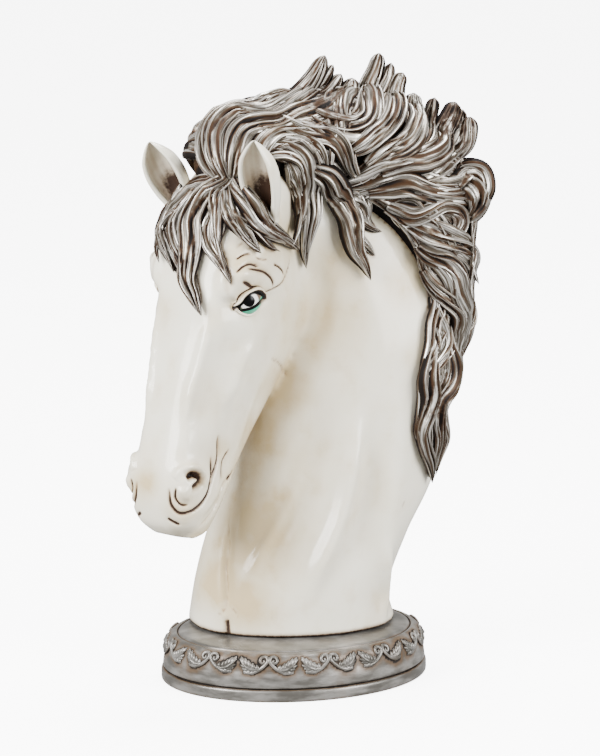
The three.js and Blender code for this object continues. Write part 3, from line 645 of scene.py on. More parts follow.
NECK_RELIEF = [
    # the muscle's ridge, the valley before it, the second ridge, the fold at the front
    [6.0, 6.2, 0.0, [35.5, 151], [32.2, 112.1], [25, 84.4], [15.5, 62.2], [3.3, 32]],
    [10.0, -4.2, 0.1, [22, 160], [12, 125], [-4, 92], [-18, 62], [-27, 44]],
    [4.5, 2.8, 0.0, [8.9, 118], [-8, 88], [-24, 58], [-33, 43]],
    [3.0, -1.0, 0.1, [4, 112], [-13, 82], [-29, 53], [-34, 40]],
    [3.0, -2.6, 0.12, [-35.6, 86], [-37.4, 70], [-38.5, 55], [-37.7, 42], [-37.3, 26]],
    [1.7, -2.6, 1.0, [-37.6, 30.5], [-37, 26], [-36.9, 20]],
    [0.8, -0.8, 0.42, [-35.2, 88], [-36.6, 78], [-37, 70], [-38.8, 58], [-37.8, 49], [-38.4, 41],
     [-37.6, 32]],
    [0.7, -0.5, 0.5, [-37.7, 36], [-41, 33], [-44, 31.5]],
    [0.7, -0.5, 0.5, [-37, 38], [-33, 35], [-30, 31]],
    [8.0, 2.8, 0.0, [52, 170], [58, 128], [55, 92], [50, 60], [46, 36]],
    [9.0, -2.8, 0.03, [46, 150], [44, 110], [38, 76], [30, 44]],
    [3.4, 3.6, 0.0, [50.5, 80], [49.8, 52], [49.4, 24]],
    # small blemishes
    [1.2, -0.6, 0.5, [-11.4, 31.6], [-10.8, 30.6]],
    [0.8, -0.3, 0.4, [60, 96], [58.6, 92]],
]

# Where the patina is warmer and where shade is painted in as a warmer tint, in the picture plane:
# middle, reach and strength
WARM_AND_SHADE_SPOTS = [
    [[34, 206], 50, 0.13], [[-18, 100], 42, 0.12], [[-48, 60], 26, 0.2],
    [[20, 196], 28, 0.24], [[30, 226], 24, 0.26], [[60, 214], 16, 0.3], [[72, 178], 14, 0.22],
     [[-6, 158], 16, 0.2],
    [[-20, 132], 14, 0.18], [[-42, 50], 16, 0.42], [[-26, 38], 18, 0.4], [[-18, 74], 28, 0.34],
     [[2, 120], 16, 0.16],
    [[-30, 226], 14, 0.26], [[-12, 240], 14, 0.3], [[-44, 196], 8, 0.16], [[-40, 122], 10, 0.2],
     [[-72, 200], 10, 0.1],
    [[74, 132], 8, 0.2], [[50, 40], 8, 0.16], [[-82, 106], 8, 0.3], [[-60, 92], 12, 0.14],
     [[-8, 186], 18, 0.12],
]

# The eye in the picture plane: from the inner corner over the top to the outer corner, back below
# along the painted outline and along the skin's opening, the green rim, the pupil's middle and the
# dark inner corner
EYE_UPPER = [
    [-33.7, 200.5], [-31.4, 201.4], [-28.6, 203.2], [-25.4, 207.4], [-22.1, 209.5], [-18.9, 209.2],
    [-16.1, 207.4],
]
EYE_LOWER = [
    [-16.1, 207.4], [-17.8, 205.1], [-20.3, 202.7], [-23, 201.1], [-26.6, 200.2], [-30.5, 199.6],
    [-33.7, 200.5],
]
EYE_OPEN = [
    [-16.1, 207.4], [-15.9, 203.8], [-17.4, 200.2], [-20.6, 197.7], [-25.4, 196.8], [-30, 197.8],
    [-33.7, 200.3],
]
EYE_RIM = [[-29.4, 198.9], [-25.4, 198.4], [-21.6, 199.3], [-18.6, 202], [-16.3, 206]]
PUPIL = [-24.4, 205]
EYE_CORNER = [-31.4, 201.8]


def inside_signed(points, outline):
    """The distance to a closed outline in the plane, above zero inside it: the sign comes from
    how many of the outline's stretches lie to the right of the point."""
    closed = np.concatenate([outline, outline[:1]])
    distance, _ = path_distance(points, closed)
    crossings = np.zeros(len(points), int)
    for (x1, y1), (x2, y2) in zip(closed[:-1], closed[1:]):
        spans = (y1 > points[:, 1]) != (y2 > points[:, 1])
        x = x1 + (points[:, 1] - y1) * (x2 - x1) / (y2 - y1 if y2 != y1 else 1e-9)
        crossings += spans & (points[:, 0] < x)
    return np.where(crossings % 2 == 1, distance, -distance)


def finer(mesh, near):
    """Splits in four the faces whose corners all lie where near says."""
    chosen = near(coordinates(mesh))
    body = bmesh.new()
    body.from_mesh(mesh)
    body.verts.ensure_lookup_table()
    faces = [f for f in body.faces if all(chosen[v.index] for v in f.verts)]
    edges = list({e for f in faces for e in f.edges})
    bmesh.ops.subdivide_edges(body, edges=edges, cuts=1, use_grid_fill=True)
    bmesh.ops.triangulate(body, faces=[f for f in body.faces if len(f.verts) > 4])
    body.to_mesh(mesh)
    body.free()
    mesh.polygons.foreach_set("use_smooth", np.ones(len(mesh.polygons), bool))
    mesh.update()


def core_tree():
    """A tree over the neck, the head and the mane's core, for laying locks on them."""
    bodies = [neck_body(70, 56), head_body(60, 48), loft(mane_rings(70, 48))]
    return tree_of(bodies + bulges(1, 16) + bulges(-1, 16))


def joined_skin(voxel):
    """One skin over the neck, the head and its bulges, from cells of the given size."""
    raw = new_mesh("skin_cells", *gather([neck_body(), head_body()] + bulges(1) + bulges(-1)))
    cells = raw.modifiers.new("cells", "REMESH")
    cells.mode = "VOXEL"
    cells.voxel_size = voxel * MM
    seen = raw.evaluated_get(bpy.context.evaluated_depsgraph_get())
    mesh = bpy.data.meshes.new_from_object(seen)
    mesh.name = "horse_skin"
    bpy.data.objects.remove(raw)
    return linked(bpy.data.objects.new("horse_skin", mesh))


def carve_eyes(points):
    """Inside the almond the skin drops behind the eyeball; round it the lids rise as a soft roll.
    Returns the moved points and how much wash lies along the opening."""
    local, folded = mirrored(points)
    close = np.linalg.norm(folded - EYE, axis=1) < LID_REACH
    level = np.linalg.norm(folded[close] - EYE, axis=1)
    towards = unit(folded[close] - EYE)
    seen = on_picture(POLL + folded[close] @ HEAD_AXES)
    top, bottom = spline(EYE_UPPER, 24), spline(EYE_OPEN, 24)
    inside = inside_signed(seen, np.concatenate([top[:-1], bottom[:-1]]))
    upper, lower = path_distance(seen, top)[0], path_distance(seen, bottom)[0]
    sink = np.clip(inside / 0.9 + 0.5, 0, 1)
    roll = 1.7 * np.exp(-((upper - 1.2) / 1.6) ** 2) + 0.7 * np.exp(-((lower - 1.0) / 1.3) ** 2)
    lid = np.maximum(level, EYE_RADIUS + 0.5 + roll * np.exp(-np.maximum(-inside - 3, 0) / 3))
    hold = np.exp(-(np.maximum(-inside - 2.2, 0) / 4.5) ** 2)
    raised = np.where(inside < 0, level + (EYE_RADIUS + 0.4 + roll - level) * hold, lid)
    target = raised * (1 - sink) + (EYE_RADIUS - 1.6) * sink
    moved = local.copy()
    moved[close] = EYE + towards * target[:, None]
    moved[close, 1] *= np.where(local[close, 1] < 0, -1, 1)
    wash = np.zeros(len(points))
    below = np.clip((upper - lower) / 1.5, 0, 1)
    edge = 2.4 * np.exp(-(inside / 0.45) ** 2) + 1.1 * np.clip(inside, 0, 1)
    wash[close] = edge * (1 - below) + 0.55 * np.exp(-(inside / 0.4) ** 2) * below
    return POLL + moved @ HEAD_AXES, wash


def carved(points, normals, tree):
    """Each line of the relief raises or lowers the skin along its normals by height * exp(-(d / width)
    ** 2), where d is the distance to the line laid on the skin. Its stain is brown wash, or for a wide
    form a warmer tint, which is painted shade in its hollow. Returns the moved points, the wash and
    the warmth with that painted shade."""
    shift, wash, warm_and_shade = np.zeros((3, len(points)))
    near_side = normals @ -SIDE_AWAY > -0.35
    everywhere = np.ones(len(points), bool)
    for table, places, allowed, fold in (
        (HEAD_RELIEF, mirrored(points)[1], everywhere, lambda line: mirrored(line)[1]),
        (NECK_RELIEF, points, near_side, lambda line: line),
    ):
        for width, height, brown, *path in table:
            guide = fold(lay(path, tree, ease=3)[0])
            low, high = guide.min(0) - 3 * width, guide.max(0) + 3 * width
            close = ((places > low) & (places < high)).all(1) & allowed
            if not close.any():
                continue
            d, share = path_distance(places[close], guide)
            fine = width < FINE_LINE
            ends = np.clip(np.minimum(share, 1 - share) * (6 if fine else 3), 0, 1)
            ends = ends ** 0.5 if fine else ends * ends * (3 - 2 * ends)
            shift[close] += height * np.exp(-(d / width) ** 2) * ends
            # A wide form's stain is a warmer tint: painted shade in its hollow
            stain = warm_and_shade if width > BROAD_FORM else wash
            marked = brown * np.exp(-(d / (width * 0.85)) ** 2) * ends
            stain[close] = np.maximum(stain[close], marked)
    return points + normals * shift[:, None], wash, warm_and_shade


def set_values(mesh, name, values):
    """An attribute on the mesh's points: of numbers, or of vectors where each value has three."""
    kind, field = ("FLOAT", "value") if values.ndim == 1 else ("FLOAT_VECTOR", "vector")
    attribute = mesh.attributes.new(name, kind, "POINT")
    attribute.data.foreach_set(field, values.astype(np.float32).ravel())


def lock(points, outwards, width, grooves, seed, thickness=0.5, top=24, under=4, blunt=0.0):
    """A lock of hair along points, lying flat across outwards. Its section is a half round, y =
    (1 - x * x) ** 0.42 of the thickness over x from -1 to 1, closed below by a shallow arc. Each
    groove takes depth * exp(-((x - middle) / narrow) ** 2) off it, its middle wandering along the
    lock. The width swells over the first quarter and runs out to a point, or to the blunt share.
    Returns points, quads, triangles, groove and strand."""
    t = np.linspace(0, 1, len(points))[:, None]
    rng = np.random.default_rng(int(seed * 1000) + 7)
    tangent = unit(np.gradient(points, axis=0))
    outwards = unit(outwards - tangent * np.einsum("ij,ij->i", outwards, tangent)[:, None])
    roll = 0.35 * np.sin(2 * math.pi * t * rng.uniform(0.5, 1.1) + seed * 5)
    level = np.cross(tangent, outwards)
    across = level * np.cos(roll) - outwards * np.sin(roll)
    outwards = outwards * np.cos(roll) + level * np.sin(roll)
    swell = 0.5 + 0.5 * np.sin(math.pi / 2 * np.minimum(t / 0.28, 1))
    taper = swell * (np.maximum(1 - t ** 2.4, 0) ** 0.75 * (1 - blunt) + blunt) + 0.03
    taper = taper * (1 + 0.09 * np.sin(t * 11 + seed * 5))
    taper = taper * np.sqrt(1 - np.clip((t - 0.93) / 0.071, 0, 1) ** 2)
    x_top = np.cos(np.linspace(0, math.pi, top))
    x_under = -np.cos(np.linspace(0, math.pi, under + 2)[1:-1])
    x = np.concatenate([x_top, x_under])[None, :]
    half_round = (1 - x_top ** 2).clip(0) ** 0.42
    arch = np.concatenate([half_round, -0.3 * (1 - x_under ** 2) ** 0.5])[None, :]
    top_side = arch > 0
    cut = 0 * t * x
    part = 1 / (grooves + 1)
    for middle in np.linspace(-1, 1, grooves + 2)[1:-1] + rng.uniform(-0.5, 0.5, grooves) * part:
        wander = np.sin(2 * math.pi * t * rng.uniform(0.5, 1.5) + rng.uniform(0, 6))
        beside = x - middle - 0.55 / grooves * wander
        strength = rng.uniform(0.65, 1)
        strength = strength * (0.75 + 0.25 * np.sin(t * rng.uniform(4, 10) + rng.uniform(0, 6)))
        narrow = rng.uniform(0.22, 0.36) * part
        cut = np.maximum(cut, strength * np.exp(-(beside / narrow) ** 2))
        fine = np.exp(-((beside - rng.uniform(0.25, 0.6) * part) / (narrow * 0.55)) ** 2)
        cut = np.maximum(cut, 0.45 * fine * np.clip(np.sin(t * 9 + rng.uniform(0, 6)), 0, 1))
    steps = 0.22 * np.sin(x * grooves * 2.3 + seed * 4 + 1.5 * t)
    depth = np.clip(2.6 * part, 0.35, 0.62)
    shaped = arch * (1 + (steps - depth * cut) * top_side)
    height = shaped * width * thickness * taper ** 0.8
    p, q, f = loft(swept(points, across, outwards, x * width / 2 * taper, height))
    edge = np.clip((np.abs(x) - 0.86) / 0.14, 0, 1)
    # The undersides are painted darker, a painted shade under the lock; the grooves and the lock's
    # edges take wash
    groove = np.where(top_side, np.maximum(cut, edge), 0.15 + 0.4 * np.abs(np.sin(9 * x + seed)))
    groove = np.concatenate([groove.ravel(), [0.9, 0.4]])
    along = t * run_of(points) / 10
    strand = np.stack([x * grooves + seed * 10 + 0 * t, along + 0 * x, seed + 0 * t * x], -1)
    strand = np.concatenate([strand.reshape(-1, 3), [[seed, 0, seed], [seed, 1, seed]]])
    return p, q, f, groove, strand


def on_mane(places, turns, lift):
    """Points round the mane's core: turns in degrees go round the section from its top, above
    zero towards the far side, and places run along the crest. Returns points and directions."""
    inner, outer, rest = lines_at(MANE_ROWS, places)
    bearing = np.radians(rest[:, 1])
    side = np.stack([-np.sin(bearing), np.cos(bearing), np.zeros_like(bearing)], -1)
    angle = np.radians(turns)
    sideways = np.sign(np.sin(angle)) * np.abs(np.sin(angle)) ** MANE_FULLNESS
    outward = (outer - inner) / 2 * np.cos(angle)[:, None] + side * (sideways * rest[:, 0])[:, None]
    points = (inner + outer) / 2 + outward
    outward = unit(outward)
    return points + outward * lift, outward


def bundle(name, locks):
    """One mesh object from several locks, with their groove and strand attributes."""
    points, quads, triangles = gather([l[:3] for l in locks])
    piece = new_mesh(name, points, quads, triangles)
    set_values(piece.data, "groove", np.concatenate([l[3] for l in locks]))
    set_values(piece.data, "strand", np.concatenate([l[4] for l in locks]))
    return piece


def between(first, second, share):
    """A path between two drawn ones: both are drawn again with seven points and mixed."""
    a, b = (even(spline(np.array(path, float), 60), 7) for path in (first, second))
    return a * (1 - share) + b * share


def nearest_in(points):
    """A tree that finds the nearest of the points."""
    tree = KDTree(len(points))
    for i, point in enumerate(points):
        tree.insert(point, i)
    tree.balance()
    return tree


def stained(skin, clouds):
    """Brown wash on the skin where hair lies on it: 0.6 * exp(-(d / HAIR_STAIN) ** 2) over the
    distance d to the hair's points."""
    hair = nearest_in(np.concatenate(clouds)[::3])
    points = coordinates(skin.data)
    wash = np.zeros(len(points), np.float32)
    values = skin.data.attributes["wash"].data
    values.foreach_get("value", wash)
    for i in np.nonzero(points[:, 2] > LOWEST_HAIR)[0]:
        found = hair.find(points[i])[2]
        wash[i] = max(wash[i], 0.6 * math.exp(-(found / HAIR_STAIN) ** 2))
    values.foreach_set("value", wash)


def drawn_locks(first, last, tree, children, spacing, blunt):
    """The locks of the table from first to last, one more between each two neighbours that run
    alike, and thinner ones beside and over them all: a child follows its parent, shifted across
    it, swaying, and turned away from it towards its tip."""
    paths = [(LOCKS[i][0], np.array(LOCKS[i][1:], float), 0) for i in range(first, last)]
    for i in range(first, last - 1):
        a, b = LOCKS[i][1:], LOCKS[i + 1][1:]
        apart = np.linalg.norm(np.array(a[0]) - b[0]) + np.linalg.norm(np.array(a[-1]) - b[-1])
        if apart < NEIGHBOURS:
            paths.append((0.8 * min(LOCKS[i][0], LOCKS[i + 1][0]), between(a, b, 0.5), 1))
    made = []
    for number, (width, path, low) in enumerate(paths):
        seed = 0.13 * (number + first) + 0.1
        rng = np.random.default_rng(100 + number + 7 * first)
        path = even(spline(path, 60), 9)
        tangent = unit(np.gradient(path, axis=0))
        across = np.stack([-tangent[:, 1], tangent[:, 0]], 1)
        t = np.linspace(0, 1, 9)[:, None]
        wave = np.sin(2 * math.pi * t * run_of(path) / 40 + rng.uniform(0, 6)) * np.sin(math.pi * t)
        path = path + across * wave * 0.13 * width
        lift = (0.02 if low else 0.12 + 0.09 * (number % 3)) * width
        points, outwards = lay(path, tree, lift, spacing)
        made.append(lock(points, outwards, width, 3 + number % 2, seed, blunt=blunt))
        for child in range(children):
            way = 1 if (child + number) % 2 else -1
            free = child == children - 1 and number % 3 == 0
            sway = np.sin(2 * math.pi * t * rng.uniform(0.8, 1.4) + rng.uniform(0, 6))
            shift = way * width * (0.1 + 0.22 * rng.random()) + 0.1 * width * sway
            shift = shift * ((1 + 0.8 * t) if free else np.sin(math.pi * (0.12 + 0.88 * t)))
            begin = int(rng.integers(0, 3))
            bent = (path + across * shift)[begin:8 if free else 9]
            over = (0.2 + 0.18 * rng.random()) * width
            points, outwards = lay(bent, tree, over, spacing)
            size = width * rng.uniform(0.34, 0.52)
            own = seed + 0.31 * child + 5
            made.append(lock(points, outwards, size, 1 + child % 2, own, 0.62, 15, 3, blunt))
    return made


def crest_core(steps=180, sides=110):
    """The mane's core with strands combed round it: ridges of |cos(phase)| ** 0.6 across the crest,
    where the phase grows along it and down the sides, so that the strands run back. Its side against
    the neck and its ends are painted dark, a painted shadow along the hairline."""
    rings = mane_rings(steps, sides)
    middle = rings.mean(1, keepdims=True)
    out = unit(rings - middle)
    place = np.linspace(0, CREST_END, steps)[:, None]
    angle = np.arange(sides)[None, :] / sides * 2 * math.pi
    down = 1 + np.cos(angle)
    wave = 0.35 * np.sin(2.2 * down + 1.1 * place) + 0.15 * np.sin(5 * down + 2.3 * place)
    phase = math.pi * (7.5 * place + 2.6 * down + 2 * wave)
    ridge = np.abs(np.cos(phase)) ** 0.6
    fine = np.abs(np.cos(phase * 3.1 + 1)) ** 0.7
    ends = np.clip(np.minimum(place, CREST_END - place) * 1.5, 0, 1)
    ends = ends * np.clip((1 - np.cos(angle)) * 0.9 - 0.3, 0, 1)
    rings = rings + out * ((1.8 * ridge + 0.4 * fine - 2.0) * ends)[..., None]
    p, q, f = loft(rings)
    # Dark along the neck and at the ends: a painted shadow along the hairline, with the grooves' wash
    groove = np.maximum(0.9 * (1 - ridge) + 0.3 * (1 - fine), 1 - 0.8 * ends)
    groove = np.concatenate([groove.ravel(), [1, 1]])
    strand = np.stack([phase / math.pi * 2, 0 * phase + down, 0 * phase + 0.5], -1).reshape(-1, 3)
    return p, q, f, np.clip(groove, 0, 1), np.concatenate([strand, np.zeros((2, 3))])


def looped_locks(kind, number, spacing):
    """The far side's locks, which run down from the crest and slip back along it, or the top's,
    which run along it."""
    made = []
    for i in range(number):
        rng = np.random.default_rng(900 + i + (50 if kind == "top" else 0))
        share = i / (number - 1)
        if kind == "far":
            start = 9.9 - share * 8.9 + 0.2 * rng.normal()
            drop = rng.uniform(128, 172)
            turns = np.array([-9, 0.3, 0.65, 1]) * [1, drop, drop, drop]
            slip = rng.uniform(0.7, 1.5)
            places = start - slip * np.array([0, 0.2, 0.55, 1]) + [0, 0.15, -0.1, 0.1 * rng.normal()]
        else:
            start = 10.3 - share * 8.2
            places = start - 2.1 * np.array([0, 0.33, 0.66, 1])
            sway = rng.uniform(-22, 34)
            turns = sway + np.array([0, 10, -6, 9]) * rng.choice([-1, 1])
        width = rng.uniform(13, 19)
        guide = spline(np.stack([np.clip(places, 0, CREST_END), turns], 1), 60)
        points, outwards = on_mane(guide[:, 0], guide[:, 1], 0.5 * (i % 3) - 1.6)
        points, outwards = stepped(points, outwards, spacing, 8)
        made.append(lock(points, outwards, width, 4 + i % 2, 0.21 * i + 20, 0.36))
    return made


def near_face(points):
    """Where the eyes and the nostrils are drawn."""
    folded = mirrored(points)[1]
    eye = np.linalg.norm(folded - EYE, axis=1) < EYE_DRAWN
    return eye | (np.linalg.norm(folded - NOSTRIL, axis=1) < NOSTRIL_DRAWN)


def near_lines(points):
    """Where the skin's finer lines are: round the eyes and on the muzzle."""
    folded = mirrored(points)[1]
    eye = np.linalg.norm(folded - EYE, axis=1) < LINES_DRAWN
    muzzle = (folded[:, 0] > MUZZLE_START) & (folded[:, 0] < MUZZLE_END)
    muzzle &= (np.abs(folded[:, 2]) < MUZZLE_DEPTH) & (folded[:, 1] < LINES_DRAWN)
    return eye | muzzle


def shaped_skin(voxel, rounds):
    """The skin with its forms: joined, smoothed, split finer where the face is drawn, carved."""
    piece = joined_skin(voxel)
    mesh = piece.data
    put(mesh, relaxed(coordinates(mesh), edges_of(mesh), rounds))
    tree = skin_tree(piece)
    finer(mesh, near_lines)
    finer(mesh, near_face)
    points, lined, valley_warmth_and_shade = carved(coordinates(mesh), vertex_values(mesh, "normal"), tree)
    put(mesh, points)
    points, opened = carve_eyes(points)
    pairs = edges_of(mesh)
    points = points + 0.35 * (neighbour_mean(points, pairs) - points)
    put(mesh, points)
    wash = np.maximum(lined, opened)
    wash = np.maximum(wash, 0.9 * np.exp(-((points[:, 2] - FOOT_LEVEL) / 2.2) ** 2))
    for side in (1, -1):
        base, tip, *_ = ear_frame(side)
        reach, _ = path_distance(points, np.array([base, base + 0.6 * (tip - base)]))
        wash = np.maximum(wash, 0.8 * np.clip((13 - reach) / 2.5, 0, 1))
    # Ambient occlusion by the skin and the mane, painted into the ivory below as shade
    trees = [skin_tree(piece), tree_of([loft(mane_rings(70, 48))])]
    occlusion = occlusion_shade(points, vertex_values(mesh, "normal"), trees)
    for _ in range(3):
        occlusion = neighbour_mean(occlusion[:, None], pairs)[:, 0]
    seen = on_picture(points)
    warm_and_shade = valley_warmth_and_shade
    # The warmer tint is patina and painted shade: these spots, the wide hollows and the occlusion
    # below
    for middle, reach, strength in WARM_AND_SHADE_SPOTS:
        apart = np.linalg.norm(seen - middle, axis=1)
        warm_and_shade = np.maximum(warm_and_shade, strength * np.exp(-((apart / reach) ** 2)))
    warm_and_shade = warm_and_shade + 0.4 * occlusion
    set_values(mesh, "wash", np.clip(wash, 0, 2.4))
    set_values(mesh, "warm_and_shade", warm_and_shade)
    return piece


def occlusion_shade(points, normals, trees):
    """The share of the directions round each point's normal that meet a tree within the occlusion's
    reach: ambient occlusion, high in the hollows, which is painted into the ivory as shade."""
    turn = np.arange(DIRECTIONS) * GOLDEN_ANGLE
    level = 0.25 + 0.7 * (np.arange(DIRECTIONS) + 0.5) / DIRECTIONS
    lean = np.sqrt(1 - level ** 2)
    spread = np.stack([lean * np.cos(turn), lean * np.sin(turn), level], 1)
    side = unit(np.cross(normals, [0.31, 0.17, 0.93]))
    third = np.cross(normals, side)
    hits = np.zeros(len(points))
    starts = points + 0.4 * normals
    for x, y, z in spread:
        rays = side * x + third * y + normals * z
        for i in range(len(points)):
            met = (tree.ray_cast(starts[i], rays[i], OCCLUSION_REACH)[0] for tree in trees)
            hits[i] += any(spot is not None for spot in met)
    return hits / DIRECTIONS


def skin_tree(piece):
    """A tree over a mesh object, in millimetres."""
    mesh = piece.data
    return BVHTree.FromPolygons(coordinates(mesh).tolist(), [list(p.vertices) for p in mesh.polygons])


def ear_pieces(side, steps, arc):
    """One ear with its attributes: wash inside the shell, at its foot and along the rim's edge."""
    base, tip, axis, *_ = ear_frame(side)
    p, q, f = ear_body(side, steps, arc)
    height = (p - base) @ axis / np.linalg.norm(tip - base)
    column = np.arange(len(p)) % (2 * arc)
    share = np.abs((column % arc) / (arc - 1) - 0.5) * 2
    inner = (column >= arc).astype(float)
    depth = inner * np.clip(1.25 - share, 0, 1) ** 0.7
    wash = 0.34 * depth + 0.4 * np.exp(-(height / 0.1) ** 2)
    deep = np.exp(-((height - 0.2) / 0.22) ** 2) * np.clip(1.1 - 1.3 * share, 0, 1)
    hairs = 0.16 * np.abs(np.sin(column * 0.9)) * inner * (share < 0.8)
    wash = wash + inner * (1.05 * deep + hairs)
    return p, q, f, np.clip(0.68 * wash, 0, 0.85)


# The band and the shoulder over it: height, and inset from the oval's edge
BAND_PROFILE = [
    [8.1, 0.9], [9.6, 0.95], [14.1, 1.5], [17, 2.1], [20.5, 2.7], [22.8, 3.3], [24.4, 4.3],
    [25.5, 5.7], [26.1, 7.2], [26.2, 8.3],
]


def plinth_rings(sides, finish):
    """The plinth's section run round an oval, from the middle of its underside to the middle of its
    top: slab, groove, sloping band, rounded shoulder, ring groove and flat top. Rows are height
    and inset from the oval's edge."""
    slab = SLAB_HEIGHT + 0.9
    top = SLAB_HEIGHT + BAND_HEIGHT + SHOULDER_HEIGHT
    profile = [
        [0, 1.4], [0.25, 0.5], [0.9, 0.05], [3, 0], [slab - 0.9, 0.15], [slab - 0.35, 0.6],
        [slab - 0.1, 1.6], [slab + 0.3, 2.1], [slab + 0.7, 1.6], *BAND_PROFILE,
        [top - 1.3, 9.0], [top - 1.35, 9.4], [top - 0.6, 9.8], [top - 0.1, 11], [top, 13],
    ]
    line = spline(np.array(profile, float), finish)
    inner = np.linspace(0, 1, 14)[1:, None]
    last = min(PLINTH_LENGTH, PLINTH_WIDTH) / 2 - 0.5
    floor = np.array([[0, last]]) * (1 - inner) + line[:1] * inner
    deck = line[-1:] * (1 - inner) + np.array([[top, last]]) * inner
    line = np.concatenate([[[0, last]], floor[:-1], line, deck])
    angle = np.arange(sides) / sides * 2 * math.pi
    half_length = PLINTH_LENGTH / 2 - line[:, 1]
    half_width = PLINTH_WIDTH / 2 - line[:, 1]
    return np.stack([
        half_length[:, None] * np.cos(angle),
        half_width[:, None] * np.sin(angle),
        np.repeat(line[:, :1], sides, 1),
    ], -1)


# Frieze: step along a stroke, height and middle level; then half a pair's paths, as shares of its
# width from the pair's middle and of the frieze's height
FRIEZE_SPACING = 0.6
FRIEZE_HEIGHT = 9.2
FRIEZE_MIDDLE = 20.4
SCROLL = [
    [0.2, -0.36], [0.42, -0.44], [0.66, -0.3], [0.86, -0.02], [0.97, 0.26], [0.92, 0.46],
    [0.78, 0.46], [0.72, 0.28], [0.79, 0.14], [0.86, 0.22], [0.83, 0.32],
]
LEAF_RIB = [[0.72, -0.2], [0.5, -0.26], [0.3, -0.12], [0.06, 0.34]]
LEAF_LOBES = [
    [0.6, -0.24, 0.62, 0.06], [0.5, -0.25, 0.47, 0.16], [0.41, -0.2, 0.34, 0.28],
    [0.33, -0.13, 0.21, 0.4], [0.25, -0.05, 0.08, 0.46], [0.36, -0.16, 0.08, 0.02],
    [0.44, -0.22, 0.14, -0.2], [0.5, -0.26, 0.2, -0.46], [0.56, -0.3, 0.36, -0.48],
]


def on_band(pair, mirror, x, y):
    """A place on the plinth's sloping band: x is the share of half a pair from the pair's middle,
    y the share of the frieze's height. Returns points and outward directions."""
    share = (pair + 0.5 + mirror * 0.5 * x) / FRIEZE_PAIRS
    table = np.linspace(0, 2 * math.pi, 721)
    oval = np.stack([PLINTH_LENGTH / 2 * np.cos(table), PLINTH_WIDTH / 2 * np.sin(table)], 1)
    steps = np.linalg.norm(np.diff(oval, axis=0), axis=1)
    length = np.concatenate([[0], np.cumsum(steps)])
    angle = np.interp((share % 1) * length[-1], length, table)
    height = FRIEZE_MIDDLE + y * FRIEZE_HEIGHT
    levels, insets = np.array(BAND_PROFILE).T
    inset = np.interp(height, levels, insets)
    lean = (np.interp(height + 1, levels, insets) - np.interp(height - 1, levels, insets)) / 2
    half_length, half_width = PLINTH_LENGTH / 2 - inset, PLINTH_WIDTH / 2 - inset
    points = np.stack([half_length * np.cos(angle), half_width * np.sin(angle), height], -1)
    outward = np.stack([np.cos(angle) / half_length, np.sin(angle) / half_width, 0 * angle], -1)
    return points, unit(unit(outward) + lean[..., None] * UP)


def stroke(pair, mirror, path, width, height, taper, spacing, sides=10):
    """A raised stroke of the frieze along a path of shares: a round section, tapering as taper's
    two rows of places and sizes say, with wash along its foot."""
    guide = spline(path, 60)
    points, outward = stepped(*on_band(pair, mirror, guide[:, 0], guide[:, 1]), spacing, 5)
    across = np.cross(unit(np.gradient(points, axis=0)), outward)
    size = np.interp(np.linspace(0, 1, len(points)), *taper)[:, None]
    a = np.arange(sides) / sides * 2 * math.pi
    x, y = np.cos(a) * width / 2 * size, (np.sin(a) + 0.1) * height * size
    p, q, f = loft(swept(points, across, outward, x, y))
    groove = np.concatenate([np.tile(0.9 * (np.sin(a) < 0.35), len(points)), [0.5, 0.5]])
    return p, q, f, groove, np.tile([[0.0, 0.0, pair * 0.7 + mirror]], (len(p), 1))


def frieze(spacing):
    """All the scrolls and leaves round the band."""
    strokes = [
        (SCROLL, 2.5, 1.35, ([0, 0.1, 0.5, 1], [0.5, 0.8, 1, 0.55])),
        (LEAF_RIB, 2.4, 1.9, ([0, 0.5, 1], [0.6, 1, 0.4])),
    ]
    for x1, y1, x2, y2 in LEAF_LOBES:
        path = [[x1, y1], [(x1 + x2) / 2 + 0.02, (y1 + y2) / 2 - 0.03], [x2, y2]]
        strokes.append((path, 2.9, 1.25, ([0, 0.45, 1], [0.7, 1, 0.25])))
    return [
        stroke(pair, mirror, *drawn, spacing)
        for pair in range(FRIEZE_PAIRS) for mirror in (-1, 1) for drawn in strokes
    ]


def plinth_washed(rings, strokes):
    """The plinth's body with its wash: in the slit over the slab, in the ring round the top, along
    the foot, and as a halo round the frieze's strokes."""
    p, q, f = loft(rings)
    height = p[:, 2]
    inset = PLINTH_LENGTH / 2 - np.concatenate([np.repeat(rings[:, 0, 0], rings.shape[1]), [0, 0]])
    groove = 1.4 * np.exp(-((height - SLAB_HEIGHT - 1.2) / 0.5) ** 2)
    ring = 1.4 * np.exp(-((inset - 9.0) / 0.45) ** 2)
    groove = groove + ring * (height > SLAB_HEIGHT + BAND_HEIGHT) + 0.5 * np.exp(-(height / 1.2) ** 2)
    near = nearest_in(np.concatenate([s[0] for s in strokes]))
    for i in np.nonzero((height > SLAB_HEIGHT + 3) & (inset < 7.5))[0]:
        apart = near.find(p[i])[2]
        tight = 0.85 * math.exp(-(max(apart - 0.25, 0) / 0.75) ** 2)
        groove[i] += max(tight, 0.45 * math.exp(-(apart / 3) ** 2))
    return p, q, f, groove


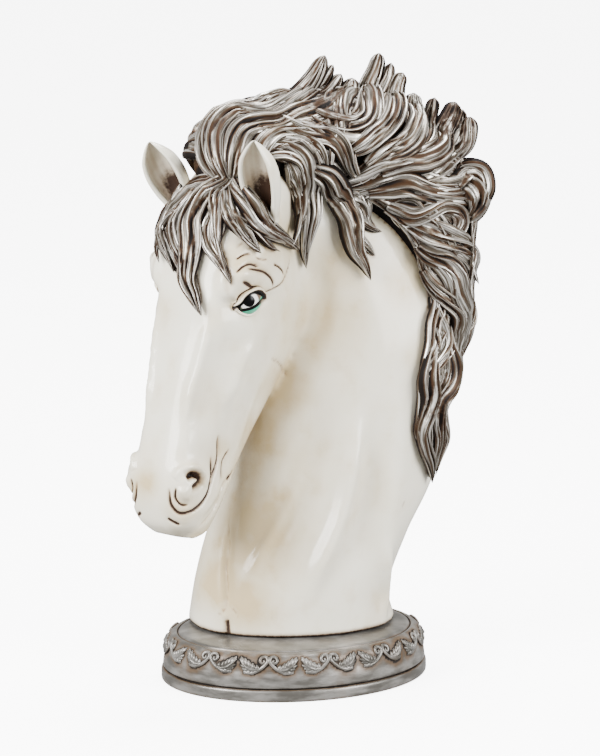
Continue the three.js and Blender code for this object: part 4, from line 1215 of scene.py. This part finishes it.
class Wire:
    """A value in a shader. Arithmetic on it adds maths nodes to the tree that it comes from."""

    def __init__(self, shader, socket):
        self.shader = shader
        self.socket = socket

    def math(self, operation, other, clamp=False):
        """A Math node of that operation, with this value first."""
        settings = {"operation": operation, "use_clamp": clamp}
        return self.shader.add("Math", settings=settings, _0=self, _1=other)

    def __add__(self, other):
        return self.math("ADD", other)

    def __sub__(self, other):
        return self.math("SUBTRACT", other)

    def __mul__(self, other):
        return self.math("MULTIPLY", other)

    def __rsub__(self, other):
        return (self * -1.0) + other

    __radd__ = __add__
    __rmul__ = __mul__

    def clamp(self):
        """This value held between 0 and 1."""
        return self.math("ADD", 0.0, clamp=True)

    def ramp(self, low, high):
        """0 below low, 1 above high, with a smooth step between."""
        smooth = {"interpolation_type": "SMOOTHSTEP"}
        return self.shader.add("MapRange", settings=smooth, _0=self, _1=low, _2=high)


class Shader:
    """A material's node tree, with one method that adds a node."""

    def __init__(self, name):
        self.material = bpy.data.materials.new(name)
        self.material.use_nodes = True
        self.tree = self.material.node_tree
        self.tree.nodes.clear()

    def add(self, kind, output=0, settings=None, **inputs):
        """Adds a node: inputs are named by socket, or by number as _0, _1 and so on."""
        node = self.tree.nodes.new("ShaderNode" + kind)
        for key, value in (settings or {}).items():
            setattr(node, key, value)
        for key, value in inputs.items():
            socket = node.inputs[int(key[1:]) if key[1:].isdigit() else key.replace("_", " ")]
            if isinstance(value, Wire):
                self.tree.links.new(value.socket, socket)
            else:
                socket.default_value = value
        return Wire(self, node.outputs[output])

    def place(self):
        """The point on the object, in metres."""
        return self.add("TexCoord", output=3)

    def attribute(self, name, output="Fac"):
        """An attribute of the mesh."""
        return self.add("Attribute", output=output, settings={"attribute_name": name})

    def noise(self, vector, scale, detail=4.0, roughness=0.55):
        """Fractal noise."""
        return self.add("TexNoise", Vector=vector, Scale=scale, Detail=detail, Roughness=roughness)

    def stretched(self, vector, scale):
        """A vector times a scale along each axis."""
        return self.add("VectorMath", settings={"operation": "MULTIPLY"}, _0=vector, _1=scale)

    def blend(self, factor, low, high):
        """A mix of two colours."""
        low, high = (c if isinstance(c, Wire) else (*c, 1.0) for c in (low, high))
        return self.add("Mix", output=2, settings={"data_type": "RGBA"}, _0=factor, _6=low, _7=high)

    def bump(self, height, strength, distance):
        """A normal bent by a height."""
        return self.add("Bump", Height=height, Strength=strength, Distance=distance)

    def finish(self, **inputs):
        """The surface and its output."""
        surface = self.add("BsdfPrincipled", **inputs)
        output = self.tree.nodes.new("ShaderNodeOutputMaterial")
        self.tree.links.new(surface.socket, output.inputs[0])
        return self.material


# Colours of the paints, as red, green and blue shares of light
IVORY = (0.83, 0.79, 0.66)
# The warmer ivory serves the random mottling, the patina and the painted shade in the hollows
IVORY_WARM = (0.56, 0.445, 0.255)
WASH_LIGHT = (0.25, 0.13, 0.05)
WASH_DARK = (0.024, 0.0095, 0.0036)
INK = (0.0012, 0.0008, 0.0006)
SILVER = (0.092, 0.075, 0.056)
# The lightest silver is a painted highlight on the hair's ridges
SILVER_HIGHLIGHT = (0.86, 0.83, 0.77)
# The umbers are wash in the hair's grooves, and painted shade along the hairline and under the locks
UMBER = (0.038, 0.0145, 0.0036)
UMBER_DARK = (0.0026, 0.0008, 0.0002)
PLINTH_SILVER = (0.10, 0.094, 0.083)
PLINTH_BRIGHT = (0.27, 0.258, 0.24)
PLINTH_BROWN = (0.085, 0.048, 0.021)
PLINTH_DARK = (0.005, 0.0024, 0.001)
EYE_WHITE = (0.78, 0.77, 0.72)
EYE_STAIN = (0.5, 0.44, 0.36)
EYE_RING = (0.12, 0.085, 0.06)
GREEN_DEEP = (0.05, 0.36, 0.22)
GREEN = (0.06, 0.40, 0.25)
PUPIL_BLACK = (0.0008, 0.0008, 0.0010)


def ivory_paint():
    """Glossy pearl paint: mottling towards a warmer ivory by noise, a warmer tint still where patina
    and painted shade lie, and brown wash where the wash attribute says, broken up by finer noise."""
    s = Shader("ivory_paint")
    place = s.place()
    broad = s.noise(place, 22.0, 4.0)
    middle = s.noise(place, 90.0, 5.0)
    fine = s.noise(place, 420.0, 6.0, 0.65)
    wash = s.attribute("wash")
    # This attribute holds patina and painted shade in the hollows, both as a warmer tint
    warm_and_shade = s.attribute("warm_and_shade") * (1.7 + 1.8 * middle)
    mottled = broad.ramp(0.45, 0.75) * 0.3 + middle.ramp(0.5, 0.8) * 0.2
    tone = s.blend((mottled + warm_and_shade).clamp(), IVORY, IVORY_WARM)
    pale = (wash * (0.6 + middle) + (fine.ramp(0.62, 0.8) * 0.1)).clamp()
    tone = s.blend(pale.ramp(0.04, 0.6) * 0.6, tone, WASH_LIGHT)
    dark = (wash * (0.55 + fine)).ramp(0.32, 0.8)
    colour = s.blend(dark, tone, WASH_DARK)
    colour = s.blend(wash.ramp(1.15, 1.5), colour, INK)
    return s.finish(
        Base_Color=colour,
        Roughness=(0.24 + 0.12 * middle + 0.35 * dark).clamp(),
        Coat_Weight=(0.5 - 0.5 * dark).clamp(),
        Coat_Roughness=0.12,
        Specular_IOR_Level=0.3,
        Normal=s.bump(fine * 0.5 + middle, 0.12, 0.0006),
    )


def silver_paint():
    """Silver paint over cast hair: painted highlights on the ridges, streaked along the strands, with
    umber wash in the grooves and umber painted shade along the hairline and under the locks."""
    s = Shader("silver_paint")
    place = s.place()
    strand = s.attribute("strand", "Vector")
    groove = s.attribute("groove")
    streak = s.noise(s.stretched(strand, (1.6, 0.16, 3.0)), 3.0, 3.0)
    hair = s.noise(s.stretched(strand, (5.0, 0.12, 1.0)), 3.0, 2.0)
    spots = s.noise(place, 160.0, 5.0, 0.6)
    broad = s.noise(place, 28.0, 3.0)
    smudge = 0.6 * broad.ramp(0.45, 0.7) * spots.ramp(0.3, 0.6)
    # The umber mask is wash in the grooves, and painted shade along the hairline and under the locks
    wash_and_shade = (groove * (1.1 + 0.6 * spots) + smudge).clamp()
    # Painted highlight: the lightest silver where the grooves are low, streaked along the strands
    painted_highlight = ((1.0 - groove) * (0.2 + 1.3 * streak)).ramp(0.72, 1.15)
    tone = s.blend(painted_highlight, SILVER, SILVER_HIGHLIGHT)
    tone = s.blend(wash_and_shade.ramp(0.12, 0.5) * 0.9, tone, UMBER)
    colour = s.blend(wash_and_shade.ramp(0.42, 0.82), tone, UMBER_DARK)
    return s.finish(
        Base_Color=colour,
        Roughness=(0.24 + 0.1 * spots + 0.4 * wash_and_shade).clamp(),
        Specular_IOR_Level=0.14,
        Metallic=(0.65 - 0.65 * wash_and_shade.ramp(0.2, 0.6)).clamp(),
        Normal=s.bump(hair * 0.6 + spots * 0.15, 0.25, 0.0008),
    )


def plinth_paint():
    """Silver paint on the plinth: smooth, with brown in the grooves and round the frieze."""
    s = Shader("plinth_paint")
    place = s.place()
    groove = s.attribute("groove")
    broad = s.noise(place, 30.0, 4.0)
    fine = s.noise(place, 240.0, 6.0, 0.65)
    streak = s.noise(s.stretched(place, (1.0, 1.0, 3.5)), 60.0, 5.0)
    tone = s.blend(streak.ramp(0.35, 0.7), PLINTH_SILVER, PLINTH_BRIGHT)
    stain = (groove * (0.6 + 0.8 * fine) + 0.4 * broad.ramp(0.45, 0.75)).clamp()
    tone = s.blend(stain.ramp(0.1, 0.6) * 0.8, tone, PLINTH_BROWN)
    dark = stain.ramp(0.55, 0.95)
    colour = s.blend(dark, tone, PLINTH_DARK)
    return s.finish(
        Base_Color=colour,
        Roughness=(0.26 + 0.16 * streak + 0.4 * dark).clamp(),
        Specular_IOR_Level=0.25,
        Metallic=(0.5 - 0.5 * stain.ramp(0.15, 0.7)).clamp(),
        Normal=s.bump(fine * 0.4 + streak, 0.15, 0.0006),
    )


def eye_paint():
    """The painted eye: a black pupil in a white ring, a black outline and a green rim below, each
    placed by the eye's drawing attributes."""
    s = Shader("eye_paint")
    place = s.place()
    pupil = s.attribute("pupil")
    outline = s.attribute("outline")
    rim = s.attribute("rim")
    grain = s.noise(place, 900.0, 4.0)
    ragged = (grain - 0.5) * 0.5
    white = s.blend(grain.ramp(0.45, 0.75) * 0.4, EYE_WHITE, EYE_STAIN)
    white = s.blend((rim + ragged).ramp(1.6, 0.9), white, GREEN_DEEP)
    ringed = s.blend((pupil + ragged).ramp(4.9, 5.5), white, EYE_RING)
    pale = s.blend((rim + ragged).ramp(2.3, 1.4), ringed, GREEN)
    dot = s.blend((pupil + ragged * 0.3).ramp(3.45, 3.15), pale, PUPIL_BLACK)
    colour = s.blend((outline + ragged * 0.4).ramp(1.1, 0.65), dot, INK)
    return s.finish(
        Base_Color=colour,
        Roughness=(0.14 + 0.2 * grain).clamp(),
        Specular_IOR_Level=0.08,
        Coat_Weight=0.1,
        Coat_Roughness=0.06,
    )


def dress(piece, material, node=None):
    """Gives the piece its material and the body it rides on, and hides the imported part that it
    stands in for.
    """
    piece.data.materials.append(material)
    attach(piece, "root")
    if node:
        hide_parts(node)


# The stage, in millimetres: the floor, the camera, and each lamp's place, width and share of power
FLOOR_SIZE = 24000.0
CAMERA_DISTANCE = 5000.0
LAMPS_AIM = [0.0, 0.0, 180.0]
LAMPS = (
    ("key", [-1250, -450, 800], 800, 1.15),
    ("fill", [900, -1100, 600], 900, 0.85),
    ("top", [250, 250, 1200], 500, 0.45),
)


def paper():
    """The white floor, lit from within."""
    s = Shader("paper")
    grain = s.noise(s.place(), 30.0, 3.0)
    shade = s.blend(grain, (0.93, 0.93, 0.93), (0.95, 0.95, 0.95))
    return s.finish(Base_Color=shade, Roughness=0.9, Emission_Color=shade, Emission_Strength=7.0)


def eyeball(side, count=60):
    """One eyeball: a sphere whose points carry their distances, in the picture plane, to the
    pupil's middle, to the opening's outline and to the green rim's line."""
    p, q, f = head_ellipsoid(EYE * [1, side, 1], [EYE_RADIUS] * 3, count)
    seen = on_picture(POLL + mirrored(p)[1] @ HEAD_AXES)
    pupil = np.linalg.norm(seen - PUPIL, axis=1)
    outline = path_distance(seen, spline(EYE_UPPER + EYE_LOWER[1:], 60))[0]
    corner = np.linalg.norm(seen - EYE_CORNER, axis=1) - 1.8
    outline = np.minimum(outline, np.maximum(corner, 0))
    rim = path_distance(seen, spline(EYE_RIM, 30))[0]
    return p, q, f, pupil, outline, rim


class SkinSettings(bpy.types.PropertyGroup):
    """The ivory casting's mesh."""

    cell: bpy.props.FloatProperty(
        name="Cell", description="Size of the skin's cells in millimetres", default=1.9, min=0.8, max=5
    )
    rounds: bpy.props.IntProperty(
        name="Smoothing", description="Times the joined forms are relaxed", default=14, min=0, max=80
    )


class ManeSettings(bpy.types.PropertyGroup):
    """The mane's locks."""

    spacing: bpy.props.FloatProperty(
        name="Spacing", description="Step along a lock in millimetres", default=1.3, min=0.4, max=5
    )
    children: bpy.props.IntProperty(
        name="Children", description="Thinner locks beside each drawn one", default=3, min=0, max=6
    )
    far_locks: bpy.props.IntProperty(
        name="Far locks", description="Locks on the far side", default=46, min=2, max=80
    )
    top_locks: bpy.props.IntProperty(
        name="Top locks", description="Locks that run along the crest", default=16, min=2, max=40
    )


class PlinthSettings(bpy.types.PropertyGroup):
    """The plinth's mesh."""

    sides: bpy.props.IntProperty(
        name="Sides", description="Steps round the oval", default=480, min=48, max=1200
    )
    rows: bpy.props.IntProperty(
        name="Rows", description="Steps up the plinth's edge", default=62, min=24, max=300
    )


class StageSettings(bpy.types.PropertyGroup):
    """Floor, light and camera."""

    light: bpy.props.FloatProperty(
        name="Key light", description="Power of the key light", default=55.0, min=0, unit="POWER"
    )
    surround: bpy.props.FloatProperty(
        name="Surround", description="Strength of the white surround", default=0.68, min=0
    )


class SCULPTURE_OT_skin(bpy.types.Operator):
    """Builds the ivory head and neck"""

    bl_idname = "sculpture.skin"
    bl_label = "Head and neck"

    def execute(self, context):
        settings = context.scene.sculpture_skin
        coarse = 1.0
        piece = shaped_skin(settings.cell * coarse, settings.rounds)
        dress(piece, material_of("ivory_paint"), "horse_bust")
        return {"FINISHED"}


class SCULPTURE_OT_ears(bpy.types.Operator):
    """Builds the two ears"""

    bl_idname = "sculpture.ears"
    bl_label = "Ears"

    def execute(self, context):
        made = [ear_pieces(side, steps=70, arc=30) for side in (1, -1)]
        piece = new_mesh("horse_ears", *gather([m[:3] for m in made]))
        set_values(piece.data, "wash", np.concatenate([m[3] for m in made]))
        dress(piece, material_of("ivory_paint"))
        return {"FINISHED"}


class SCULPTURE_OT_eyes(bpy.types.Operator):
    """Builds the painted eyeballs"""

    bl_idname = "sculpture.eyes"
    bl_label = "Eyes"

    def execute(self, context):
        made = [eyeball(side) for side in (1, -1)]
        piece = new_mesh("horse_eyes", *gather([m[:3] for m in made]))
        for i, name in enumerate(("pupil", "outline", "rim")):
            set_values(piece.data, name, np.concatenate([m[3 + i] for m in made]))
        dress(piece, material_of("eye_paint"))
        return {"FINISHED"}


class SCULPTURE_OT_mane(bpy.types.Operator):
    """Builds the mane: its core, the drawn locks and those of the far side and the top"""

    bl_idname = "sculpture.mane"
    bl_label = "Mane"

    def execute(self, context):
        settings = context.scene.sculpture_mane
        spacing = settings.spacing * 1.0
        tree = core_tree()
        groups = {"mane_core": [crest_core()]}
        for name, (first, last, blunt) in LOCK_GROUPS.items():
            groups[name] = drawn_locks(first, last, tree, settings.children, spacing, blunt)
        groups["mane_far"] = looped_locks("far", settings.far_locks, spacing)
        groups["mane_top"] = looped_locks("top", settings.top_locks, spacing)
        over = [l[0] for locks in groups.values() for l in locks]
        stained(bpy.data.objects["horse_skin"], over)
        for name, locks in groups.items():
            dress(bundle(name, locks), material_of("silver_paint"))
        return {"FINISHED"}


class SCULPTURE_OT_plinth(bpy.types.Operator):
    """Builds the oval plinth and its frieze"""

    bl_idname = "sculpture.plinth"
    bl_label = "Plinth"

    def execute(self, context):
        settings = context.scene.sculpture_plinth
        strokes = frieze(FRIEZE_SPACING * (1.0))
        p, q, f, groove = plinth_washed(plinth_rings(settings.sides, settings.rows), strokes)
        piece = new_mesh("plinth_body", p, q, f)
        set_values(piece.data, "groove", groove)
        dress(piece, material_of("plinth_paint"), "plinth")
        relief = bundle("plinth_frieze", strokes)
        dress(relief, material_of("plinth_paint"))
        return {"FINISHED"}


class SCULPTURE_OT_stage(bpy.types.Operator):
    """Sets up the floor, the light and the camera"""

    bl_idname = "sculpture.stage"
    bl_label = "Stage"

    def execute(self, context):
        settings = context.scene.sculpture_stage
        scene = context.scene
        corners = np.array([[-1, -1, 0], [1, -1, 0], [1, 1, 0], [-1, 1, 0]]) * FLOOR_SIZE / 2
        floor = new_mesh("floor", corners, np.array([[0, 1, 2, 3]]), np.zeros((0, 3), int))
        floor.data.materials.append(paper())
        floor.visible_diffuse = False
        floor.visible_glossy = False
        world = bpy.data.worlds.new("surround")
        world.use_nodes = True
        background = world.node_tree.nodes["Background"]
        background.inputs[0].default_value = (1.0, 1.0, 1.0, 1.0)
        background.inputs[1].default_value = settings.surround
        scene.world = world
        for name, spot, width, share in LAMPS:
            light = bpy.data.lights.new(name, "AREA")
            light.size = width * MM
            light.energy = settings.light * share
            lamp = linked(bpy.data.objects.new(name, light))
            aim(lamp, np.array(spot, float), np.array(LAMPS_AIM))
        lens = bpy.data.cameras.new("camera")
        lens.sensor_width = 36.0
        lens.lens = lens.sensor_width * CAMERA_DISTANCE / (PIXEL * PICTURE_SIZE[1])
        lens.clip_end = 50.0
        right = PIXEL * (PICTURE_SIZE[0] / 2 - PICTURE_ORIGIN[0])
        up = PIXEL * (PICTURE_ORIGIN[1] - PICTURE_SIZE[1] / 2)
        target = SIDE_RIGHT * right + SIDE_UP * up
        scene.camera = linked(bpy.data.objects.new("camera", lens))
        aim(scene.camera, target - SIDE_AWAY * CAMERA_DISTANCE, target)
        return {"FINISHED"}


def aim(thing, spot, target):
    """Puts a lamp or camera at a spot, in millimetres, looking at a target with Z up."""
    back = unit(spot - target)
    right = unit(np.cross(UP, back))
    turn = np.eye(4)
    turn[:3, 0], turn[:3, 1], turn[:3, 2] = right, np.cross(back, right), back
    turn[:3, 3] = spot * MM
    thing.matrix_world = Matrix(turn.tolist())


PAINTS = {
    "ivory_paint": ivory_paint,
    "silver_paint": silver_paint,
    "plinth_paint": plinth_paint,
    "eye_paint": eye_paint,
}


def material_of(name):
    """The material of that name, made on first use."""
    return bpy.data.materials.get(name) or PAINTS[name]()


class SCULPTURE_PT_panel(bpy.types.Panel):
    """Lists the sculpture's settings and operators"""

    bl_label = "Horse head"
    bl_idname = "SCULPTURE_PT_panel"
    bl_space_type = "VIEW_3D"
    bl_region_type = "UI"
    bl_category = "Horse head"

    def draw(self, context):
        for group, names in ORDER:
            box = self.layout.box()
            settings = getattr(context.scene, group)
            for field in settings.__annotations__:
                box.prop(settings, field)
            for name in names:
                box.operator("sculpture." + name)


ORDER = (
    ("sculpture_skin", ("skin", "ears", "eyes")),
    ("sculpture_mane", ("mane",)),
    ("sculpture_plinth", ("plinth",)),
    ("sculpture_stage", ("stage",)),
)
SETTINGS = {
    "sculpture_skin": SkinSettings,
    "sculpture_mane": ManeSettings,
    "sculpture_plinth": PlinthSettings,
    "sculpture_stage": StageSettings,
}
CLASSES = (
    *SETTINGS.values(), SCULPTURE_OT_skin, SCULPTURE_OT_ears, SCULPTURE_OT_eyes, SCULPTURE_OT_mane,
    SCULPTURE_OT_plinth, SCULPTURE_OT_stage, SCULPTURE_PT_panel,
)


def register():
    """Registers the settings, the operators and the panel."""
    for kind in CLASSES:
        bpy.utils.register_class(kind)
    for name, kind in SETTINGS.items():
        setattr(bpy.types.Scene, name, bpy.props.PointerProperty(type=kind))


def unregister():
    """Removes what register added."""
    for name in SETTINGS:
        delattr(bpy.types.Scene, name)
    for kind in reversed(CLASSES):
        bpy.utils.unregister_class(kind)


def main():
    """Registers the add-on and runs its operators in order."""
    register()
    for _, names in ORDER:
        for name in names:
            getattr(bpy.ops.sculpture, name)()


if __name__ == "__main__":
    main()
